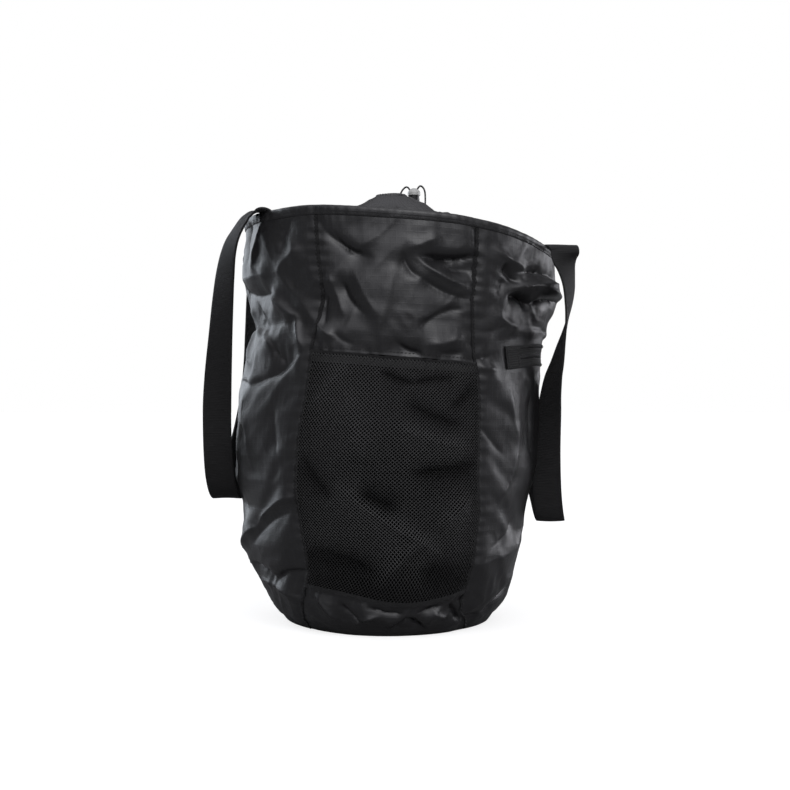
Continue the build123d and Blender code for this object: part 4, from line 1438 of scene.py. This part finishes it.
channel = loft("drawcord_channel_cloth", 360, 20, channel_shape, 0.865, 0.02)
outward(channel)
smooth(channel)
dress(channel, nylon, "shell_fabric", "bag", "collar_channel")
clear_selection()
bpy.ops.mesh.primitive_torus_add(
    major_segments=96, minor_segments=10, major_radius=(NECK_RADIUS - 0.4) / 1000, minor_radius=0.0008,
    location=(COLLAR_CENTRE.x, COLLAR_CENTRE.y, CHANNEL_Z / 1000),
)
hidden_cord = named("cord_inside_channel")
bpy.ops.object.transform_apply(location=True, rotation=False, scale=False)
smooth(hidden_cord)
dress(hidden_cord, braid, "cord", "bag", "drawcord_in_channel")
print("collar", len(collar.data.polygons), "faces")


# %% [markdown]
# Each carrying handle is one length of 25 mm webbing, sewn inside the rim at both ends. It comes
# up over the rim, turns down and hangs, folds flat at the bottom and goes up again to its other
# end. The line down the middle of the strap and the way its width points are a few listed values,
# and the ribs are real ridges. The far leg lies closer along the bag than the near one.

# %% Strap helpers
STRAP_WIDE = 0.0250
RIB = 0.00145


def curve_through(points, count):
    """Evenly spaced places along a smooth curve through rows of values; x, y, z come first."""
    points = np.array(points, float)
    knots = np.concatenate([[0], np.cumsum(np.linalg.norm(np.diff(points[:, :3], axis=0), axis=1) ** 0.5)])
    slopes = np.gradient(points, knots, axis=0)
    fine = np.linspace(0, knots[-1], 4000)
    i = np.clip(np.searchsorted(knots, fine, side="right") - 1, 0, len(knots) - 2)
    span = (knots[i + 1] - knots[i])[:, None]
    t = (fine - knots[i])[:, None] / span
    curve = (
        (2 * t**3 - 3 * t**2 + 1) * points[i] + (t**3 - 2 * t**2 + t) * span * slopes[i]
        + (3 * t**2 - 2 * t**3) * points[i + 1] + (t**3 - t**2) * span * slopes[i + 1]
    )
    reach = np.concatenate([[0], np.cumsum(np.linalg.norm(np.diff(curve[:, :3], axis=0), axis=1))])
    even = np.linspace(0, reach[-1], count)
    return np.stack([np.interp(even, reach, curve[:, k]) for k in range(points.shape[1])], axis=1), reach[-1]


def ribbon(name, points, rows, thick=0.0017, columns=10):
    """Ribbed webbing along rows of x, y, z in mm and the turn of its width from X, in degrees."""
    line, length = curve_through([(x / 1000, y / 1000, z / 1000, a) for x, y, z, a in points], rows + 1)
    ahead = np.gradient(line[:, :3], axis=0)
    ahead = ahead / np.linalg.norm(ahead, axis=1, keepdims=True)
    turn = np.radians(line[:, 3])
    side = np.stack([np.cos(turn), np.sin(turn), 0 * turn], axis=1)
    side = side - ahead * (side * ahead).sum(axis=1, keepdims=True)
    side = side / np.linalg.norm(side, axis=1, keepdims=True)
    face = np.cross(side, ahead)

    def shape(u, w):
        step = w * rows
        pick = [np.stack([np.interp(step, np.arange(rows + 1), a[:, k]) for k in range(3)], axis=1)
                for a in (line[:, :3], side, face)]
        across = (u - 0.5) * STRAP_WIDE
        rib = 0.00016 * np.sin(w * length * 2 * math.pi / RIB) * np.clip((0.5 - np.abs(u - 0.5)) * 12, 0, 1)
        cup = 0.0006 * (np.abs(u - 0.5) * 2) ** 2 * np.sin(w * 7 + 1)
        return pick[0] + pick[1] * across[:, None] + pick[2] * (rib + cup)[:, None]

    piece = loft(name, columns, rows, shape, STRAP_WIDE, length)
    thicken(piece, thick, 0.0)
    make_active(piece)
    bevel = piece.modifiers.new("worn_edges", "BEVEL")
    bevel.width = 0.0004
    bevel.segments = 2
    bevel.limit_method = "ANGLE"
    bevel.angle_limit = math.radians(60)
    bpy.ops.object.modifier_apply(modifier=bevel.name)
    smooth(piece, 50)
    print(name, "length", round(length, 3), "m")
    return piece


# %% [markdown]
# The left handle hangs close to the side of the bag. Its route is a list of points in millimetres,
# each with the turn of its width, from the front end round to the back one.

# %% Left handle
LEFT_FRONT = [
    (-101, -71, 346, -57), (-103, -72, 354, -58), (-108.5, -72, 357, -60), (-116, -70.5, 355.2, -62),
    (-122, -68.5, 350.8, -64), (-127.5, -66, 344, -64), (-133.2, -64, 333.5, -60), (-137.2, -61, 321.5, -55),
    (-140.4, -57, 303, -47), (-142.6, -53, 283, -41), (-145.7, -45, 249, -31), (-148.6, -37, 214, -15),
    (-150.1, -31, 186, 0), (-150.2, -25, 151, 4), (-149.2, -20, 130, 3), (-147.2, -14.5, 117, 0),
    (-145.3, -8, 111, -2),
]
LEFT_BACK = [
    (-144.2, 0, 109.4, -2), (-143.2, 7, 111.0, 4), (-142.0, 13, 117, 18), (-140.2, 20, 129, 38),
    (-137.6, 29, 147, 54), (-134.5, 41, 170, 62), (-131.5, 53, 196, 65), (-129.5, 61, 228, 66),
    (-128.5, 66, 262, 65), (-127, 69, 300, 63), (-124.5, 71, 330, 62), (-120, 72, 347, 61),
    (-114, 72.5, 354.6, 60), (-108, 71.5, 357, 59), (-102, 70.5, 353.8, 58), (-100, 69.5, 346, 57),
]
left_route = LEFT_FRONT + LEFT_BACK
left_strap = ribbon("left_handle_strap", left_route, 1500)
dress(left_strap, webbing, "webbing", None, "left_handle_webbing")
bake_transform(left_strap)

# %% [markdown]
# The right handle leaves the rim further round than the left, stands out over the rim's low end
# and hangs lower.

# %% Right handle
RIGHT_FRONT = [
    (137.0, -36.5, 311, 74), (137.0, -36.6, 320, 72), (139.3, -39, 327.6, 54), (143.5, -44.5, 330.2, 32),
    (148.5, -52.5, 330.0, 12), (151.6, -58.5, 327.8, 4), (152.3, -61, 324, 8), (152.6, -60.6, 319, 24),
    (153.6, -59.2, 313, 43), (155.6, -57.5, 303, 56), (157.0, -56, 291, 64), (156.9, -53.5, 279, 72),
    (155.6, -51, 267, 81), (153.4, -48, 254, 90), (150.6, -45, 241, 100), (147.8, -42.5, 228, 109),
    (144.8, -40, 216, 118), (142.8, -37, 202, 126), (141.6, -34, 186, 136),
    (140.2, -28, 153, 150), (140.6, -23, 126, 163), (142.0, -18, 108, 175), (144.0, -12, 95, 180),
    (145.6, -6, 89.4, 180),
]
RIGHT_BACK = [
    (146.2, 0, 88.2, 180), (145.8, 6.5, 89.6, 178), (144.5, 13, 95.5, 172), (142.0, 22, 109, 160),
    (138, 33, 129, 144), (134, 45, 152, 128), (130.8, 56, 178, 119), (129.5, 63, 206, 115),
    (131.5, 67, 240, 114), (134.5, 69.5, 275, 115), (137, 71, 303, 117), (137.5, 71.5, 319, 118),
    (136, 71.5, 328.5, 119), (130, 70.5, 332.5, 120), (124, 69.0, 330.0, 121), (121, 67.5, 322, 121),
]
right_route = RIGHT_FRONT + RIGHT_BACK
right_strap = ribbon("right_handle_strap", right_route, 1560)
dress(right_strap, webbing, "webbing", None, "right_handle_webbing")
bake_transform(right_strap)

# %% [markdown]
# Inside the rim, each strap end is a doubled patch with a box of stitches round a cross.

# %% Sewn strap ends
def sewn_end(name, degrees):
    def shape(u, w):
        here = degrees + (u - 0.5) * 25 / MM_PER_DEGREE
        z = RIM_MM - 33 + 32 * w
        rib = 0.00012 * np.sin(w * 32 / 1.45 * 2 * math.pi)
        return on_skin(here, share_at(z / 1000), -0.0040 + rib)

    piece = loft(name, 12, 90, shape, STRAP_WIDE, 0.032)
    thicken(piece, 0.0020, 0.0)
    smooth(piece, 50)
    dress(piece, webbing, "webbing", "bag")
    corners = [(-9, 6), (9, 6), (9, 24), (-9, 24), (-9, 6), (9, 24), (9, 6), (-9, 24)]
    legs = [np.linspace(corners[k], corners[k + 1], 20) for k in range(len(corners) - 1)]
    line = np.concatenate(legs)
    angles_here = degrees + line[:, 0] / MM_PER_DEGREE
    sew(name + "_stitches", angles_here, share_at((RIM_MM - 33 + line[:, 1]) / 1000), -0.0053, 0.0028)
    return piece


SEWN_ANGLES = {
    ("left", "front"): -60, ("left", "back"): -121, ("right", "front"): 78, ("right", "back"): 121,
}
ends = {}
for (side, place), degrees in SEWN_ANGLES.items():
    ends[side, place] = sewn_end(f"{side}_strap_end_{place}", degrees)
print("sewn strap ends", len(ends))
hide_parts("left_handle_sewn_ends")
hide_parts("right_handle_sewn_ends")

# %% [markdown]
# A short arch of webbing on the base inside takes the rope's end.

# %% Rope tie loop on the base, inside
tie_low, tie_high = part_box("rope_tie_loop")
tie_middle = (tie_low + tie_high) / 2


def tie_shape(u, w):
    arch = math.pi * np.clip((w - 0.12) / 0.76, 0, 1)
    half = (tie_high.x - tie_low.x) / 2 - 0.001
    inner = half - 0.008
    x = np.where(w < 0.12, -half + (half - inner) * w / 0.12, 0)
    x = x + np.where(w > 0.88, half - (half - inner) * (1 - w) / 0.12, 0)
    x = np.where((w >= 0.12) & (w <= 0.88), -inner * np.cos(arch), x)
    z = tie_low.z + 0.0012 + (tie_high.z - tie_low.z - 0.003) * np.sin(arch) ** 0.8
    y = tie_middle.y + (u - 0.5) * (tie_high.y - tie_low.y) * 0.94
    return np.stack([tie_middle.x + x, y, z], axis=-1)


tie = loft("rope_tie_strap", 8, 160, tie_shape, 0.02, 0.08)
thicken(tie, 0.0016, 0.0)
smooth(tie, 50)
dress(tie, webbing, "webbing", "bag", "rope_tie_loop")
print("tie loop", len(tie.data.polygons), "faces")

# %% [markdown]
# The two free ends of the drawcord come up behind the lock, bend over and hang: one behind the
# collar, the other to the right of it. Each is a NURBS curve through a few points, with the
# cord's real radius as its bevel, and a small knot on its end.

# %% Drawcord tails
CORD_RADIUS = 0.0008
LEFT_TAIL = [
    (20.7, 9.5, 370.0), (20.9, 9.4, 378.5), (20.3, 9.8, 386.5), (17.0, 12.5, 391.0),
    (12.5, 16.5, 387.5), (9.8, 20.0, 380.5), (8.6, 22.6, 373.5),
]
RIGHT_TAIL = [
    (25.2, 9.5, 368.6), (25.0, 9.4, 377.5), (25.6, 9.3, 386.0), (29.0, 8.6, 391.5),
    (33.2, 8.0, 387.5), (33.9, 7.8, 379.5), (33.6, 8.1, 371.0),
]


def tail(name, route, node):
    curve = bpy.data.curves.new(name, "CURVE")
    curve.dimensions = "3D"
    spline = curve.splines.new("NURBS")
    spline.points.add(len(route) - 1)
    for point, (x, y, z) in zip(spline.points, route):
        point.co = (x / 1000, y / 1000, z / 1000, 1)
    spline.order_u = 3
    spline.use_endpoint_u = True
    spline.resolution_u = 12
    curve.bevel_depth = CORD_RADIUS
    curve.bevel_resolution = 4
    curve.use_fill_caps = True
    curve.materials.append(braid)
    piece = bpy.data.objects.new(name, curve)
    bpy.context.scene.collection.objects.link(piece)
    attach(piece, "bag")
    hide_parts(node)
    return piece


tail("left_cord_tail", LEFT_TAIL, "drawcord_left_tail")
tail("right_cord_tail", RIGHT_TAIL, "drawcord_right_tail")
print("cord tails 2")

# %% [markdown]
# The hard parts keep their CAD shapes and only get a finish.

# %% Finishes of the hard parts
NODE_FINISHES = {
    "drawcord_knots": braid, "cord_lock_body": lock_black,
    "cord_lock_button": lock_grey, "cord_lock_spring": spring_wire, "zip_slider": zip_paint,
    "zip_puller": zip_paint,
}
for node, finish in NODE_FINISHES.items():
    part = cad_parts[node]
    part.data.materials.clear()
    part.data.materials.append(finish)
print("hard parts", len(NODE_FINISHES))

# %% [markdown]
# The bag stands on a plain white sweep. Black nylon is read by what it mirrors, so the room is
# not evenly white. The floor is dim to everything but the camera, which sees it plain white, as
# a sweep lit on its own does.

# %% Floor
def to_camera(tree):
    return add_node(tree, "ShaderNodeLightPath")["Is Camera Ray"]


clear_selection()
bpy.ops.mesh.primitive_plane_add(size=30, location=(0, 0, 0))
floor = named("floor")
sweep, sweep_tree, sweep_shader = new_material("white_sweep", Roughness=0.9, Specular_IOR_Level=0.1)
sweep_shader.inputs["Base Color"].default_value = (0.34, 0.34, 0.34, 1)
sweep_shader.inputs["Emission Color"].default_value = (1, 1, 1, 1)
sweep_shader.inputs["Emission Strength"].default_value = 0.80
dim = add_node(sweep_tree, "ShaderNodeBsdfDiffuse", None, {"Color": (0.22, 0.22, 0.22, 1)})
shown = add_node(sweep_tree, "ShaderNodeMixShader", None, {0: to_camera(sweep_tree), 1: dim[0]})
sweep_tree.links.new(sweep_shader.outputs[0], shown.node.inputs[2])
ground = next(n for n in sweep_tree.nodes if n.type == "OUTPUT_MATERIAL")
sweep_tree.links.new(shown[0].socket, ground.inputs["Surface"])
floor.data.materials.append(sweep)
print("floor staged")

# %% [markdown]
# The room is dark with four soft patches: a broad one in front and above, one overhead, and one
# at each side behind, of which the left one is bluish. The camera itself sees plain white.

# %% Room
world = bpy.data.worlds.new("studio")
bpy.context.scene.world = world
world.use_nodes = True
room = world.node_tree
background = next(n for n in room.nodes if n.type == "BACKGROUND")
direction = add_node(room, "ShaderNodeTexCoord")["Generated"]


def lobe(aim, start, full):
    """1 where a direction is close to an aim, fading to 0 away from it."""
    aim = Vector(aim).normalized()
    dot = {"operation": "DOT_PRODUCT"}
    toward = add_node(room, "ShaderNodeVectorMath", dot, {0: direction, 1: aim})["Value"]
    settings = {"interpolation_type": "SMOOTHSTEP", "clamp": True}
    inputs = {"Value": toward, "From Min": start, "From Max": full}
    return add_node(room, "ShaderNodeMapRange", settings, inputs)[0]


front_light = lobe((0.05, -1, 0.50), 0.50, 0.90)
overhead = lobe((0, 0, 1), 0.45, 0.85)
left_strip = lobe((-0.66, 0.74, 0.14), 0.84, 0.95)
right_strip = lobe((0.88, 0.42, -0.24), 0.78, 0.91)
level = 0.09 + front_light * 1.20 + overhead * 0.60 + left_strip * 1.7 + right_strip * 3.0
tone = mix_colors(room, left_strip, (0.985, 0.985, 1.04), (0.88, 0.94, 1.02))
seen = mix_colors(room, to_camera(room), tone, (1.0, 1.0, 1.0))
strength = to_camera(room) * (1.0 - level) + level
room.links.new(seen.socket, background.inputs["Color"])
room.links.new(strength.socket, background.inputs["Strength"])
bpy.context.scene.view_settings.view_transform = "Standard"
print("room lit")


# %% [markdown]
# Two area lights add to the room: a large one in front and a small bluish one at the left.

# %% Lights
def soft_light(name, place, target, size, watts, tint=(1, 1, 1)):
    data = bpy.data.lights.new(name, "AREA")
    data.shape = "RECTANGLE"
    data.size, data.size_y = size
    data.energy = watts
    data.color = tint
    light = bpy.data.objects.new(name, data)
    light.location = place
    light.rotation_euler = (Vector(target) - Vector(place)).to_track_quat("-Z", "Y").to_euler()
    bpy.context.scene.collection.objects.link(light)


soft_light("front_softbox", (0.5, -1.9, 1.5), (0, 0, 0.25), (1.0, 0.8), 9)
soft_light("left_softbox", (-1.25, 0.65, 0.85), (0, 0, 0.26), (0.3, 0.9), 2.6, (0.86, 0.93, 1.0))
print("lights 2")
